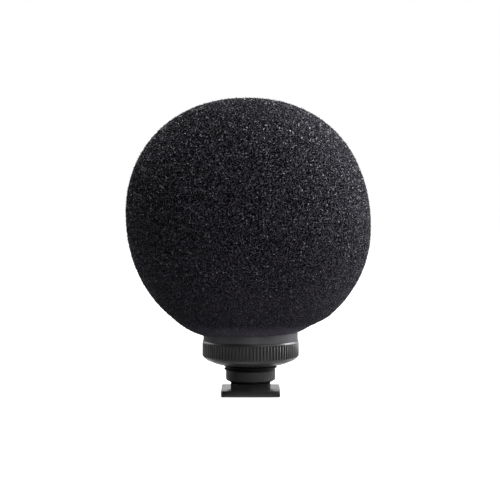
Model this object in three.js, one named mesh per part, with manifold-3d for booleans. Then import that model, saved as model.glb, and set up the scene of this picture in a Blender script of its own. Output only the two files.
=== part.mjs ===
// An on-camera stereo microphone. A ball of open-cell foam covers a slotted head with a crossed
// pair of capsules. The body stands on a ribbed locking wheel and an accessory-shoe foot.
// Lengths are in millimetres. +Z is up and the microphone listens along -Y.
// The origin is the middle of the foot's underside.

import * as THREE from "three";
import { mergeVertices, toCreasedNormals } from "three/addons/utils/BufferGeometryUtils.js";
import Module from "manifold-3d";

const wasm = await Module();
wasm.setup();

// Accessory-shoe foot, a T-section that slides between the rails of a camera's shoe
const footWidth = 18.6;
const footLength = 18;
const footThickness = 2;
const footNeckWidth = 12.5;
const footNeckHeight = 2.1;
const footEdge = 0.5;
const footCorner = 0.6;

// Stem, the threaded post between the foot and the body
const stemHeight = 13.1;
const stemRadius = 7.75;
const stemBevelWidth = 1.2;
const stemBevelHeight = 0.7;
const stemPlainHeight = 3.6;
const threadRadius = 8.4;
const threadRunout = 0.4;
const stemSpigotRadius = 3.2;
const stemSpigotHeight = 1.7;

// Locking wheel, a ribbed nut that runs down the stem to clamp the shoe's rails
const wheelHeight = 6.8;
const wheelRadius = 15.4;
const wheelFaceRadius = 11.6;
const wheelShoulderRadius = 14;
const wheelShoulderHeight = 1;
const wheelWallStart = 2.1;
const wheelTopBevel = 0.5;
const wheelHeadroom = 0.3;
const threadGap = 0.15;
const ribCount = 88;
const ribDepth = 0.4;
const ribTipShare = 0.4;

// Clamp washer, which stays still while the wheel turns on it
const washerRadius = 10.9;
const washerThickness = 1;
const washerProud = 0.25;
const washerGap = 0.15;

// Base housing, the moulded collar above the wheel, with the socket's boss behind
const baseRadius = 15.05;
const collarHeight = 3;
const collarBevel = 0.3;
const spigotWall = 1.4;
const spigotHeight = 5;
const bossWidth = 7.8;
const bossReach = 26;
const bossEndWall = 1.2;
const grooveDepth = 1.4;
const grooveWall = 1.4;

// Body tube
const bodyRadius = 12.25;
const tubeWall = 1.2;
const tubeLength = 23.8;

// Running and seating clearances
const fitGap = 0.1;
const notchGap = 0.35;
const foamGap = 0.3;
const wireGap = 0.3;
const overrun = 1;

// Output socket for a 3.5 mm plug, and its nut
const jackRadius = 2.8;
const jackLength = 16;
const jackNoseRadius = 2.5;
const jackNoseLength = 2.6;
const plugRadius = 1.8;
const plugDepth = 13;
const jackTailWidth = 0.9;
const jackTailThickness = 0.4;
const jackTailSpacing = 1.5;
const nutRadius = 3.6;
const nutThickness = 1.3;
const nutBevel = 0.3;
const nutSlotWidth = 0.8;
const nutSlotDepth = 0.6;

// Fasteners
const footScrewRadius = 0.95;
const footScrewHeadRadius = 1.75;
const footScrewHeadHeight = 1;
const footScrewLength = 8;
const footScrewAcross = 6.8;
const footScrewAlong = 7.2;
const stemScrewRadius = 0.8;
const stemScrewHeadRadius = 1.5;
const stemScrewHeadHeight = 1.1;
const stemScrewLength = 6;
const stemScrewCircle = 5.9;
const bodyScrewRadius = 0.7;
const bodyScrewHeadRadius = 1.25;
const bodyScrewHeadHeight = 0.7;
const bodyScrewLength = 2.4;
const bodyScrewHeight = 2.2;
const screwSink = 0.1;
const driveShare = 0.45;
const driveDepth = 0.4;

// Amplifier board and what is soldered to it
const boardInset = 1.25;
const boardThickness = 1.2;
const boardHeadroom = 0.5;
const boardLift = 0.6;
const boardBack = 3.2;
const chipWidth = 6;
const chipHeight = 5;
const chipThickness = 1.4;
const chipLift = 12;
const capacitorRadius = 2;
const capacitorLength = 4.5;
const capacitorLift = 5.5;
const capacitorSpread = 4.4;
const plugBlockWidth = 8;
const plugBlockHeight = 3.6;
const plugBlockThickness = 3.2;
const plugBlockDrop = 5;

// Head ring, which closes the tube and carries the cage and the rubber suspension
const headSpigotHeight = 2.4;
const headFlangeHeight = 2.4;
const headRebateHeight = 1.6;
const headLipThickness = 1;
const headWall = 2.85;
const suspensionSeat = 0.75;
const suspensionThickness = 2.6;
const suspensionFold = 1.1;

// Cage of upright bars over the capsules
const domeDrop = 3;
const cageWall = 1.1;
const slotCount = 16;
const slotWidth = 1.8;
const slotStart = 3.2;
const slotInnerRadius = 6.5;

// Crossed pair of capsules, one above the other, in a moulded cradle
const capsuleRadius = 4;
const capsuleLength = 6;
const capsuleRim = 0.8;
const capsuleRecess = 0.4;
const capsuleAngle = 45;
const soundHoleRadius = 0.4;
const soundHoleCircle = 1.9;
const soundHoleCount = 6;
const bootWall = 0.8;
const bootLength = 4.6;
const clampWall = 0.8;
const clampLength = 3.6;
const cradleFootInset = 2;
const cradleFootThickness = 1.2;
const cradleHubStep = 1.9;
const cradleSink = 0.5;
const spineWidth = 6;
const spineThickness = 3.6;
const spineRoom = 2.5;

// Screened leads from the capsules to the board
const leadRadius = 0.55;
const leadRoom = 1.8;
const leadLoop = 2.3;
const leadPlugSpread = 2.6;

// Foam windscreen: a ball a little squarer than a sphere above, and nearer one below. Its lip
// hangs over the collar's top.
const foamRadius = 39;
const foamSkirt = 1;
const foamLip = 0.86;
const foamCrownPower = 2.17;
const foamSkirtPower = 2.07;
const foamSeatGap = 0.1;

// Facets in a full turn
const foamSides = 44;
const tubeSides = 36;
const partSides = 24;
const screwSides = 8;
const leadSides = 8;
const ballSteps = 8;
const domeSteps = 5;
const archSteps = 8;
const slotEndSteps = 4;

// Heights that the sizes above lead to
const stemBase = footThickness + footNeckHeight;
const baseBottom = stemBase + stemHeight;
const wheelBottom = baseBottom - wheelHeadroom - wheelHeight;
const baseTop = baseBottom + collarHeight;
const tubeTop = baseTop + tubeLength;
const cageBottom = tubeTop + headFlangeHeight;
const suspensionBottom = tubeTop - headSpigotHeight + headLipThickness;
const suspensionTop = suspensionBottom + suspensionThickness;
const cradleFootTop = suspensionTop + cradleFootThickness;

// Radii that the sizes above lead to
const tubeBore = bodyRadius - tubeWall;
const spigotRadius = tubeBore - fitGap;
const spigotBore = spigotRadius - spigotWall;
const cageBore = bodyRadius - cageWall;
const bootRadius = capsuleRadius + fitGap + bootWall;
const clampBore = bootRadius + fitGap;
const clampRadius = clampBore + clampWall;
const lowCapsule = cradleFootTop + clampRadius - cradleSink;
const highCapsule = lowCapsule + 2 * clampRadius - cradleSink;
const domeCentre = highCapsule - domeDrop;
const cageStraight = domeCentre - cageBottom;
const suspensionRadius = bodyRadius - headWall;
const headLipRadius = suspensionRadius - suspensionSeat;
const cradleFootRadius = suspensionRadius - cradleFootInset;
const cradleHubRadius = cradleFootRadius - cradleHubStep;
const spineBack = cageBore - spineRoom;
const leadCircle = headLipRadius - leadRadius - wireGap;
const capsuleFront = leadCircle - leadRoom - capsuleLength;
const capsuleBack = capsuleFront + capsuleLength;
const socketHeight = bossWidth / 2;
const jackSeat = bossReach - bossEndWall;
const boardFront = boardBack - boardThickness;
const boardWidth = 2 * (spigotBore - boardInset);
const boardHeight = tubeLength - headSpigotHeight - boardHeadroom - boardLift;

const finish = {
  foam: new THREE.MeshStandardMaterial({ color: 0x232226, roughness: 1 }),
  wheelPlastic: new THREE.MeshStandardMaterial({ color: 0x2c2c2f, roughness: 0.45 }),
  basePlastic: new THREE.MeshStandardMaterial({ color: 0x2e2e31, roughness: 0.4 }),
  stemMetal: new THREE.MeshStandardMaterial({ color: 0x1d1d1f, roughness: 0.35, metalness: 0.5 }),
  footMetal: new THREE.MeshStandardMaterial({ color: 0x19191a, roughness: 0.25, metalness: 0.4 }),
  bodyMetal: new THREE.MeshStandardMaterial({ color: 0x29292b, roughness: 0.35, metalness: 0.5 }),
  blackSteel: new THREE.MeshStandardMaterial({ color: 0x222224, roughness: 0.4, metalness: 0.8 }),
  rubber: new THREE.MeshStandardMaterial({ color: 0x141415, roughness: 0.85 }),
  nickel: new THREE.MeshStandardMaterial({ color: 0xc9c6bd, roughness: 0.25, metalness: 1 }),
  laminate: new THREE.MeshStandardMaterial({ color: 0x14502f, roughness: 0.4 }),
  moulding: new THREE.MeshStandardMaterial({ color: 0x161617, roughness: 0.6 }),
  connector: new THREE.MeshStandardMaterial({ color: 0xe6e0d0, roughness: 0.5 }),
  leadRed: new THREE.MeshStandardMaterial({ color: 0x8d1c1a, roughness: 0.5 }),
  leadGrey: new THREE.MeshStandardMaterial({ color: 0x8f9094, roughness: 0.5 }),
};

// A closed three.js geometry as a solid that can be joined and cut
function solidOf(geometry) {
  const bare = geometry.clone();
  bare.deleteAttribute("normal");
  bare.deleteAttribute("uv");
  const merged = mergeVertices(bare);
  const vertProperties = merged.getAttribute("position").array;
  const triVerts = new Uint32Array(merged.index.array);
  return new wasm.Manifold(new wasm.Mesh({ numProp: 3, vertProperties, triVerts }));
}

// A solid as a named mesh
function piece(name, solid, material) {
  const made = solid.getMesh();
  const geometry = new THREE.BufferGeometry();
  geometry.setAttribute("position", new THREE.BufferAttribute(made.vertProperties, made.numProp));
  geometry.setIndex(new THREE.BufferAttribute(made.triVerts, 1));
  const mesh = new THREE.Mesh(toCreasedNormals(geometry, Math.PI / 6), material);
  mesh.name = name;
  return mesh;
}

// Turns a profile of [radius, height] points round the Z axis
function revolve(profile, sides) {
  const points = profile.map(([radius, height]) => new THREE.Vector2(radius, height));
  return solidOf(new THREE.LatheGeometry(points, sides).rotateX(Math.PI / 2));
}

// A ring of rectangular section between two heights
function ring(inner, outer, low, high, sides) {
  return revolve([[inner, low], [outer, low], [outer, high], [inner, high], [inner, low]], sides);
}

// A plain cylinder along Z between two heights
function rod(radius, low, high, sides) {
  return revolve([[0, low], [radius, low], [radius, high], [0, high]], sides);
}

// A box given by its lowest and highest corners
function block(low, high) {
  const [width, depth, height] = high.map((end, i) => end - low[i]);
  const geometry = new THREE.BoxGeometry(width, depth, height);
  return solidOf(geometry.translate(low[0] + width / 2, low[1] + depth / 2, low[2] + height / 2));
}

// A closed outline of [x, y] points, pushed along Z
function prism(outline, low, high) {
  const shape = new THREE.Shape(outline.map(([x, y]) => new THREE.Vector2(x, y)));
  const geometry = new THREE.ExtrudeGeometry(shape, { depth: high - low, bevelEnabled: false });
  return solidOf(geometry.translate(0, 0, low));
}

// A closed outline of [x, z] points, pushed along Y from front to back
function prismAlongY(outline, front, back) {
  const shape = new THREE.Shape(outline.map(([x, z]) => new THREE.Vector2(x, z)));
  const geometry = new THREE.ExtrudeGeometry(shape, { depth: back - front, bevelEnabled: false });
  return solidOf(geometry.rotateX(Math.PI / 2).translate(0, back, 0));
}

// Turns a solid that stands along Z so that its height runs along +Y
function alongY(solid) {
  return solid.rotate([-90, 0, 0]);
}

// Places every copy of a piece at the same radius, one at each angle in degrees
function around(angles, radius, place) {
  return angles.map((angle, i) => {
    const turn = THREE.MathUtils.degToRad(angle);
    return place(radius * Math.cos(turn), radius * Math.sin(turn), turn, i);
  });
}

// A screw with a plain socket, head up, with the top of its head at height zero. A sunk head is
// a cone.
function screw(name, radius, headRadius, headHeight, length, sunk) {
  const drive = headRadius * driveShare;
  const profile = [[0, -length], [radius, -length], [radius, -headHeight]];
  if (!sunk) profile.push([headRadius, -headHeight]);
  profile.push([headRadius, 0], [drive, 0], [drive, -driveDepth], [0, -driveDepth]);
  return piece(name, revolve(profile, screwSides), finish.blackSteel);
}

// The hole that such a screw needs, with its clearance
function screwHole(radius, headRadius, headHeight, length, sunk) {
  const wide = radius + fitGap;
  const seat = headRadius + fitGap;
  const profile = [[0, -length - fitGap], [wide, -length - fitGap]];
  if (sunk) profile.push([wide, -headHeight], [seat, 0], [seat, overrun], [0, overrun]);
  else profile.push([wide, overrun], [0, overrun]);
  return revolve(profile, screwSides);
}

const footScrewPlaces = [-1, 1].flatMap((across) =>
  [-1, 1].map((along) => [(across * footScrewAcross) / 2, (along * footScrewAlong) / 2]),
);
const stemScrewAngles = [195, 270, 345];
const bodyScrewAngles = [15, 165, 270];

// The holes for the screws that go up through the foot into the stem
function footScrewHoles() {
  const hole = screwHole(
    footScrewRadius, footScrewHeadRadius, footScrewHeadHeight, footScrewLength, true,
  ).rotate([180, 0, 0]);
  return footScrewPlaces.map(([x, y]) => hole.translate([x, y, screwSink]));
}

// The foot is what its front, side and top outlines all hold
function shoeFoot() {
  const side = footWidth / 2;
  const neck = footNeckWidth / 2;
  const end = footLength / 2;
  const front = [
    [-side + footEdge, 0], [side - footEdge, 0], [side, footEdge], [side, footThickness],
    [neck, footThickness], [neck, stemBase], [-neck, stemBase], [-neck, footThickness],
    [-side, footThickness], [-side, footEdge],
  ];
  const lengthways = [
    [-end + footEdge, 0], [end - footEdge, 0], [end, footEdge], [end, stemBase], [-end, stemBase],
    [-end, footEdge],
  ];
  const top = [
    [-side + footCorner, -end], [side - footCorner, -end], [side, -end + footCorner],
    [side, end - footCorner], [side - footCorner, end], [-side + footCorner, end],
    [-side, end - footCorner], [-side, -end + footCorner],
  ];
  let body = prismAlongY(front, -end, end)
    .intersect(prismAlongY(lengthways, -side, side).rotate([0, 0, 90]))
    .intersect(prism(top, 0, stemBase));
  for (const hole of footScrewHoles()) body = body.subtract(hole);
  return piece("shoe_foot", body, finish.footMetal);
}

function footScrews() {
  return footScrewPlaces.map(([x, y], i) => {
    const mesh = screw(
      `foot_screw_${i + 1}`, footScrewRadius, footScrewHeadRadius, footScrewHeadHeight,
      footScrewLength, true,
    );
    mesh.rotation.x = Math.PI;
    mesh.position.set(x, y, screwSink);
    return mesh;
  });
}

// The post that the wheel runs on, with a spigot that centres the base housing
function stem() {
  const start = stemBevelHeight;
  const profile = [
    [0, 0], [stemRadius - stemBevelWidth, 0], [stemRadius, start], [stemRadius, stemPlainHeight],
    [threadRadius, stemPlainHeight + threadRunout], [threadRadius, stemHeight],
    [stemSpigotRadius, stemHeight], [stemSpigotRadius, stemHeight + stemSpigotHeight],
    [0, stemHeight + stemSpigotHeight],
  ];
  let body = revolve(profile, tubeSides);
  for (const hole of footScrewHoles()) body = body.subtract(hole.translate([0, 0, -stemBase]));
  const hole = screwHole(
    stemScrewRadius, stemScrewHeadRadius, stemScrewHeadHeight, stemScrewLength, false,
  );
  around(stemScrewAngles, stemScrewCircle, (x, y) => {
    body = body.subtract(hole.translate([x, y, stemHeight]));
  });
  const mesh = piece("stem", body, finish.stemMetal);
  mesh.position.z = stemBase;
  return mesh;
}

// Flat-topped ribs with sharp grooves between them, round the wheel's wall
function ribbedOutline() {
  const root = wheelRadius - ribDepth;
  const pitch = (2 * Math.PI) / ribCount;
  const outline = [];
  for (let i = 0; i < ribCount; i++) {
    for (const [radius, share] of [
      [root, -1 / 2], [wheelRadius, -ribTipShare / 2], [wheelRadius, ribTipShare / 2],
    ]) {
      const angle = (i + share) * pitch;
      outline.push([radius * Math.cos(angle), radius * Math.sin(angle)]);
    }
  }
  return outline;
}

// The wheel is a ribbed disc inside a turned envelope, with a bore and a seat for the washer
function lockWheel() {
  const bore = threadRadius + threadGap;
  const seat = washerRadius + washerGap;
  const seatDepth = washerThickness - washerProud + washerGap;
  const slope = (wheelWallStart - wheelShoulderHeight) / (wheelRadius - wheelShoulderRadius);
  const outside = wheelRadius + overrun;
  const envelope = [
    [0, 0], [wheelFaceRadius, 0], [wheelShoulderRadius, wheelShoulderHeight],
    [outside, wheelWallStart + slope * overrun], [outside, wheelHeight - wheelTopBevel - overrun],
    [wheelRadius - wheelTopBevel, wheelHeight], [0, wheelHeight],
  ];
  const hollow = [
    [0, -overrun], [seat, -overrun], [seat, seatDepth], [bore, seatDepth],
    [bore, wheelHeight + overrun], [0, wheelHeight + overrun],
  ];
  const ribs = prism(ribbedOutline(), -overrun, wheelHeight + overrun);
  const body = ribs.intersect(revolve(envelope, ribCount)).subtract(revolve(hollow, tubeSides));
  const mesh = piece("lock_wheel", body, finish.wheelPlastic);
  mesh.position.z = wheelBottom;
  return mesh;
}

function clampWasher() {
  const body = ring(threadRadius + threadGap, washerRadius, 0, washerThickness, tubeSides);
  const mesh = piece("clamp_washer", body, finish.rubber);
  mesh.position.z = wheelBottom - washerProud;
  return mesh;
}

// The arch-shaped outline of the socket's boss in [x, z], grown by a clearance on its sides and top
function archOutline(grow, bottom) {
  const radius = bossWidth / 2 + grow;
  const outline = [[-radius, bottom], [radius, bottom]];
  for (let i = 0; i <= archSteps; i++) {
    const angle = (Math.PI * i) / archSteps;
    outline.push([radius * Math.cos(angle), socketHeight + radius * Math.sin(angle)]);
  }
  return outline;
}

// The collar on the wheel, the spigot inside the tube, the boss, and two grooved posts for the board
function baseHousing() {
  const top = collarHeight + spigotHeight;
  const edge = baseRadius - collarBevel;
  const cup = [
    [stemSpigotRadius + fitGap, 0], [edge, 0], [baseRadius, collarBevel],
    [baseRadius, collarHeight - collarBevel], [edge, collarHeight], [spigotRadius, collarHeight],
    [spigotRadius, top], [spigotBore, top], [spigotBore, collarHeight],
    [stemSpigotRadius + fitGap, collarHeight], [stemSpigotRadius + fitGap, 0],
  ];
  let body = revolve(cup, tubeSides);
  body = body.add(prismAlongY(archOutline(0, 0), spigotBore, bossReach));

  const half = boardWidth / 2;
  const post = half - grooveDepth;
  for (const side of [0, 180]) {
    const upright = block(
      [post, boardFront - grooveWall, collarHeight - collarBevel],
      [spigotBore + spigotWall / 2, boardBack + grooveWall, top],
    ).intersect(rod(spigotRadius - spigotWall / 2, 0, top, tubeSides));
    const turned = side ? upright.mirror([1, 0, 0]) : upright;
    body = body.add(turned);
  }
  const slit = block(
    [-half - fitGap, boardFront - fitGap, collarHeight + boardLift],
    [half + fitGap, boardBack + fitGap, top + overrun],
  );
  body = body.subtract(slit);

  const jackBore = alongY(rod(jackRadius + fitGap, boardBack + grooveWall, jackSeat, partSides));
  const noseHole = alongY(rod(jackNoseRadius + fitGap, 0, bossReach + overrun, partSides));
  const noseOnly = block(
    [-bossWidth, jackSeat - overrun, -overrun], [bossWidth, bossReach + overrun, top],
  );
  body = body.subtract(jackBore.translate([0, 0, socketHeight]));
  body = body.subtract(noseHole.translate([0, 0, socketHeight]).intersect(noseOnly));

  const hole = rod(stemScrewRadius + fitGap, -overrun, collarHeight + overrun, screwSides);
  around(stemScrewAngles, stemScrewCircle, (x, y) => {
    body = body.subtract(hole.translate([x, y, 0]));
  });
  const tapped = rod(bodyScrewRadius + fitGap, 0, bodyRadius, screwSides).rotate([0, 90, 0]);
  around(bodyScrewAngles, 0, (x, y, turn) => {
    const angle = THREE.MathUtils.radToDeg(turn);
    const wall = tapped.intersect(rod(bodyRadius, -spigotHeight, spigotHeight, tubeSides));
    const outer = wall.subtract(rod(spigotBore - fitGap, -spigotHeight, spigotHeight, tubeSides));
    body = body.subtract(outer.rotate([0, 0, angle]).translate([0, 0, collarHeight + bodyScrewHeight]));
  });
  const mesh = piece("base_housing", body, finish.basePlastic);
  mesh.position.z = baseBottom;
  return mesh;
}

function stemScrews() {
  return around(stemScrewAngles, stemScrewCircle, (x, y, turn, i) => {
    const mesh = screw(
      `stem_screw_${i + 1}`, stemScrewRadius, stemScrewHeadRadius, stemScrewHeadHeight,
      stemScrewLength, false,
    );
    mesh.position.set(x, y, baseTop + stemScrewHeadHeight);
    return mesh;
  });
}

// The socket's barrel lies along Y with its nose through the boss's end wall. Its three tails
// reach the board.
function outputJack() {
  const barrel = [
    [0, 0], [jackRadius, 0], [jackRadius, jackLength], [jackNoseRadius, jackLength],
    [jackNoseRadius, jackLength + jackNoseLength], [plugRadius, jackLength + jackNoseLength],
    [plugRadius, jackLength + jackNoseLength - plugDepth],
    [0, jackLength + jackNoseLength - plugDepth],
  ];
  let body = revolve(barrel, partSides);
  for (const step of [-1, 0, 1]) {
    const x = step * jackTailSpacing;
    body = body.add(block(
      [x - jackTailWidth / 2, -jackTailThickness / 2, boardBack - jackSeat + jackLength],
      [x + jackTailWidth / 2, jackTailThickness / 2, fitGap],
    ));
  }
  const mesh = piece("output_jack", alongY(body), finish.moulding);
  mesh.position.set(0, jackSeat - jackLength, baseBottom + socketHeight);
  return mesh;
}

function jackNut() {
  const bore = jackNoseRadius + fitGap;
  const profile = [
    [bore, 0], [nutRadius, 0], [nutRadius, nutThickness - nutBevel],
    [nutRadius - nutBevel, nutThickness], [bore, nutThickness], [bore, 0],
  ];
  const slots = block(
    [-nutRadius - overrun, -nutSlotWidth / 2, nutThickness - nutSlotDepth],
    [nutRadius + overrun, nutSlotWidth / 2, nutThickness + overrun],
  );
  const mesh = piece("jack_nut", alongY(revolve(profile, partSides).subtract(slots)), finish.nickel);
  mesh.position.set(0, bossReach, baseBottom + socketHeight);
  return mesh;
}

// The tube drops over the base's spigot, with a slot in its rim that clears the boss
function bodyTube() {
  let body = ring(tubeBore, bodyRadius, 0, tubeLength, tubeSides);
  const slot = prismAlongY(archOutline(notchGap, -overrun), 0, bossReach);
  body = body.subtract(slot.translate([0, 0, baseBottom - baseTop]));
  const hole = screwHole(
    bodyScrewRadius, bodyScrewHeadRadius, bodyScrewHeadHeight, bodyScrewLength, true,
  ).rotate([0, 90, 0]);
  around(bodyScrewAngles, bodyRadius, (x, y, turn) => {
    const angle = THREE.MathUtils.radToDeg(turn);
    body = body.subtract(hole.rotate([0, 0, angle]).translate([x, y, bodyScrewHeight]));
  });
  const mesh = piece("body_tube", body, finish.bodyMetal);
  mesh.position.z = baseTop;
  return mesh;
}

function bodyScrews() {
  const depth = bodyRadius - screwSink;
  return around(bodyScrewAngles, depth, (x, y, turn, i) => {
    const mesh = screw(
      `body_screw_${i + 1}`, bodyScrewRadius, bodyScrewHeadRadius, bodyScrewHeadHeight,
      bodyScrewLength, true,
    );
    mesh.rotation.set(0, Math.PI / 2, 0);
    const holder = new THREE.Group();
    holder.rotation.z = turn;
    holder.position.set(x, y, baseTop + bodyScrewHeight);
    holder.add(mesh);
    return holder;
  });
}

// The upright board stands in the base's grooves, with its parts on both faces
function amplifierBoard() {
  const bottom = baseTop + boardLift;
  const group = new THREE.Group();
  group.position.set(0, boardFront, bottom);
  const half = boardWidth / 2;
  const board = block([-half, 0, 0], [half, boardThickness, boardHeight]);
  group.add(piece("main_board", board, finish.laminate));

  const chip = block(
    [-chipWidth / 2, -chipThickness, chipLift], [chipWidth / 2, 0, chipLift + chipHeight],
  );
  group.add(piece("preamp_chip", chip, finish.moulding));

  for (const [i, side] of [-1, 1].entries()) {
    const can = piece(
      `filter_capacitor_${i + 1}`, alongY(rod(capacitorRadius, 0, capacitorLength, partSides)),
      finish.nickel,
    );
    can.position.set(side * capacitorSpread, -capacitorLength, capacitorLift);
    group.add(can);
  }
  const blockTop = boardHeight - plugBlockDrop;
  const connector = block(
    [-plugBlockWidth / 2, boardThickness, blockTop - plugBlockHeight],
    [plugBlockWidth / 2, boardThickness + plugBlockThickness, blockTop],
  );
  group.add(piece("capsule_connector", connector, finish.connector));
  return group;
}

function headRing() {
  const bore = suspensionRadius + fitGap;
  const lip = headLipThickness;
  const flange = headSpigotHeight + headFlangeHeight;
  const profile = [
    [headLipRadius, 0], [spigotRadius, 0], [spigotRadius, headSpigotHeight],
    [bodyRadius, headSpigotHeight], [bodyRadius, flange],
    [cageBore - fitGap, flange], [cageBore - fitGap, flange + headRebateHeight],
    [bore, flange + headRebateHeight], [bore, lip], [headLipRadius, lip], [headLipRadius, 0],
  ];
  const mesh = piece("head_ring", revolve(profile, tubeSides), finish.bodyMetal);
  mesh.position.z = tubeTop - headSpigotHeight;
  return mesh;
}

// The ways down for the two leads, behind the capsules and clear of the cradle's spine
function leadHoles(low, high) {
  const hole = rod(leadRadius + wireGap, low, high, screwSides).translate([0, leadCircle, 0]);
  return [-1, 1].map((side) => hole.rotate([0, 0, side * capsuleAngle]));
}

// A rubber ring with one soft fold, which lets the cradle float
function suspensionRing() {
  const inner = cradleHubRadius + fitGap;
  const middle = (inner + suspensionRadius) / 2;
  const foldHalf = suspensionFold / 2;
  const profile = [
    [inner, 0], [middle - foldHalf, 0], [middle, suspensionFold], [middle + foldHalf, 0],
    [suspensionRadius, 0], [suspensionRadius, suspensionThickness], [inner, suspensionThickness],
    [inner, 0],
  ];
  let body = revolve(profile, partSides);
  for (const hole of leadHoles(-overrun, suspensionThickness + overrun)) body = body.subtract(hole);
  const mesh = piece("suspension_ring", body, finish.rubber);
  mesh.position.z = suspensionBottom;
  return mesh;
}

// Turns a solid that faces -Y towards one side, by an angle in degrees, at a height
function aim(solid, side, height) {
  return solid.rotate([0, 0, side * capsuleAngle]).translate([0, 0, height]);
}

const capsules = [
  { name: "left", side: -1, height: lowCapsule },
  { name: "right", side: 1, height: highCapsule },
];

// Two clamp rings on one spine, over a foot whose hub fits the rubber ring
function capsuleCradle() {
  let body = rod(cradleFootRadius, suspensionTop, cradleFootTop, partSides);
  body = body.add(rod(cradleHubRadius, suspensionBottom, suspensionTop, partSides));
  body = body.add(block(
    [-spineWidth / 2, spineBack - spineThickness, cradleFootTop - cradleSink],
    [spineWidth / 2, spineBack, highCapsule + clampRadius / 2],
  ).intersect(rod(spineBack, 0, domeCentre + bodyRadius, partSides)).add(
    prism(
      [[-spineWidth / 2, 0], [spineWidth / 2, 0], [spineWidth / 2, spineBack - fitGap],
        [-spineWidth / 2, spineBack - fitGap]],
      suspensionTop, cradleFootTop,
    ).intersect(rod(spineBack, 0, cradleFootTop, partSides)),
  ));
  const near = capsuleFront + (capsuleLength - clampLength) / 2;
  const clampRing = alongY(ring(clampBore, clampRadius, near, near + clampLength, partSides));
  const room = alongY(
    rod(clampBore, capsuleFront - capsuleLength, capsuleBack + capsuleLength, partSides),
  );
  for (const { side, height } of capsules) body = body.add(aim(clampRing, side, height));
  for (const { side, height } of capsules) body = body.subtract(aim(room, side, height));
  for (const hole of leadHoles(0, highCapsule - leadLoop)) body = body.subtract(hole);
  return piece("capsule_cradle", body, finish.moulding);
}

// A metal can whose diaphragm faces -Y behind a ring of sound holes
function capsule(name) {
  const well = capsuleRadius - capsuleRim;
  const profile = [
    [0, capsuleRecess], [well, capsuleRecess], [well, 0], [capsuleRadius, 0],
    [capsuleRadius, capsuleLength], [0, capsuleLength],
  ];
  let body = revolve(profile, partSides);
  const hole = rod(soundHoleRadius, -overrun, 2 * capsuleRecess, screwSides);
  for (let i = 0; i < soundHoleCount; i++) {
    const turn = (2 * Math.PI * i) / soundHoleCount;
    body = body.subtract(
      hole.translate([soundHoleCircle * Math.cos(turn), soundHoleCircle * Math.sin(turn), 0]),
    );
  }
  return piece(name, alongY(body.translate([0, 0, capsuleFront])), finish.nickel);
}

function capsuleBoot(name) {
  const near = capsuleFront + (capsuleLength - bootLength) / 2;
  const body = ring(capsuleRadius + fitGap, bootRadius, near, near + bootLength, partSides);
  return piece(name, alongY(body), finish.rubber);
}

function capsulePair() {
  return capsules.map(({ name, side, height }) => {
    const pair = new THREE.Group();
    pair.rotation.z = THREE.MathUtils.degToRad(side * capsuleAngle);
    pair.position.z = height;
    pair.add(capsule(`capsule_${name}`), capsuleBoot(`capsule_boot_${name}`));
    return pair;
  });
}

// A lead leaves the back of its capsule, turns down past the cradle and ends at the connector
function capsuleLead({ name, side, height }) {
  const turn = THREE.MathUtils.degToRad(side * capsuleAngle);
  const back = (distance, z) => new THREE.Vector3(
    -distance * Math.sin(turn), distance * Math.cos(turn), z,
  );
  const start = capsuleBack + wireGap;
  const x = -side * leadPlugSpread;
  const top = baseTop + boardLift + boardHeight - plugBlockDrop;
  const middle = boardBack + plugBlockThickness / 2;
  const route = new THREE.CatmullRomCurve3([
    back(start, height),
    back(start + leadRadius, height),
    back(start + leadLoop, height - leadLoop),
    back(leadCircle, height - 2 * leadLoop),
    back(leadCircle, suspensionTop),
    back(leadCircle, suspensionBottom),
    new THREE.Vector3(x, middle, top + leadLoop),
    new THREE.Vector3(x, middle, top + wireGap),
  ]);
  const section = new THREE.Shape();
  for (let i = 0; i < leadSides; i++) {
    const angle = (2 * Math.PI * i) / leadSides;
    const point = [leadRadius * Math.cos(angle), leadRadius * Math.sin(angle)];
    if (i) section.lineTo(...point);
    else section.moveTo(...point);
  }
  const steps = Math.round(route.getLength() / (3 * leadRadius));
  const tube = new THREE.ExtrudeGeometry(section, { steps, extrudePath: route });
  const material = side < 0 ? finish.leadRed : finish.leadGrey;
  return piece(`capsule_lead_${name}`, solidOf(tube), material);
}

// Points on a quarter circle from its side to just short of the axis
function quarter(radius, centre, steps) {
  const points = [];
  for (let i = 0; i < steps; i++) {
    const angle = (Math.PI / 2) * (i / steps);
    points.push([radius * Math.cos(angle), centre + radius * Math.sin(angle)]);
  }
  return points;
}

// A domed shell, cut by round-ended slots that leave upright bars and a closed crown
function grilleCage() {
  const outer = quarter(bodyRadius, cageStraight, domeSteps);
  const inner = quarter(cageBore, cageStraight, domeSteps).reverse();
  const shell = revolve([
    [cageBore, 0], [bodyRadius, 0], ...outer, [0, cageStraight + bodyRadius],
    [0, cageStraight + cageBore], ...inner, [cageBore, 0],
  ], tubeSides);
  const half = slotWidth / 2;
  const outline = [[-half, bodyRadius + cageStraight + overrun]];
  for (let i = 0; i <= slotEndSteps; i++) {
    const angle = Math.PI + (Math.PI * i) / slotEndSteps;
    outline.push([half * Math.cos(angle), slotStart + half + half * Math.sin(angle)]);
  }
  outline.push([half, bodyRadius + cageStraight + overrun]);
  const slot = prismAlongY(outline, slotInnerRadius, bodyRadius + overrun);
  let body = shell;
  for (let i = 0; i < slotCount; i++) {
    body = body.subtract(slot.rotate([0, 0, ((i + 0.5) * 360) / slotCount]));
  }
  const mesh = piece("grille_cage", body, finish.bodyMetal);
  mesh.position.z = cageBottom;
  return mesh;
}

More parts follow.
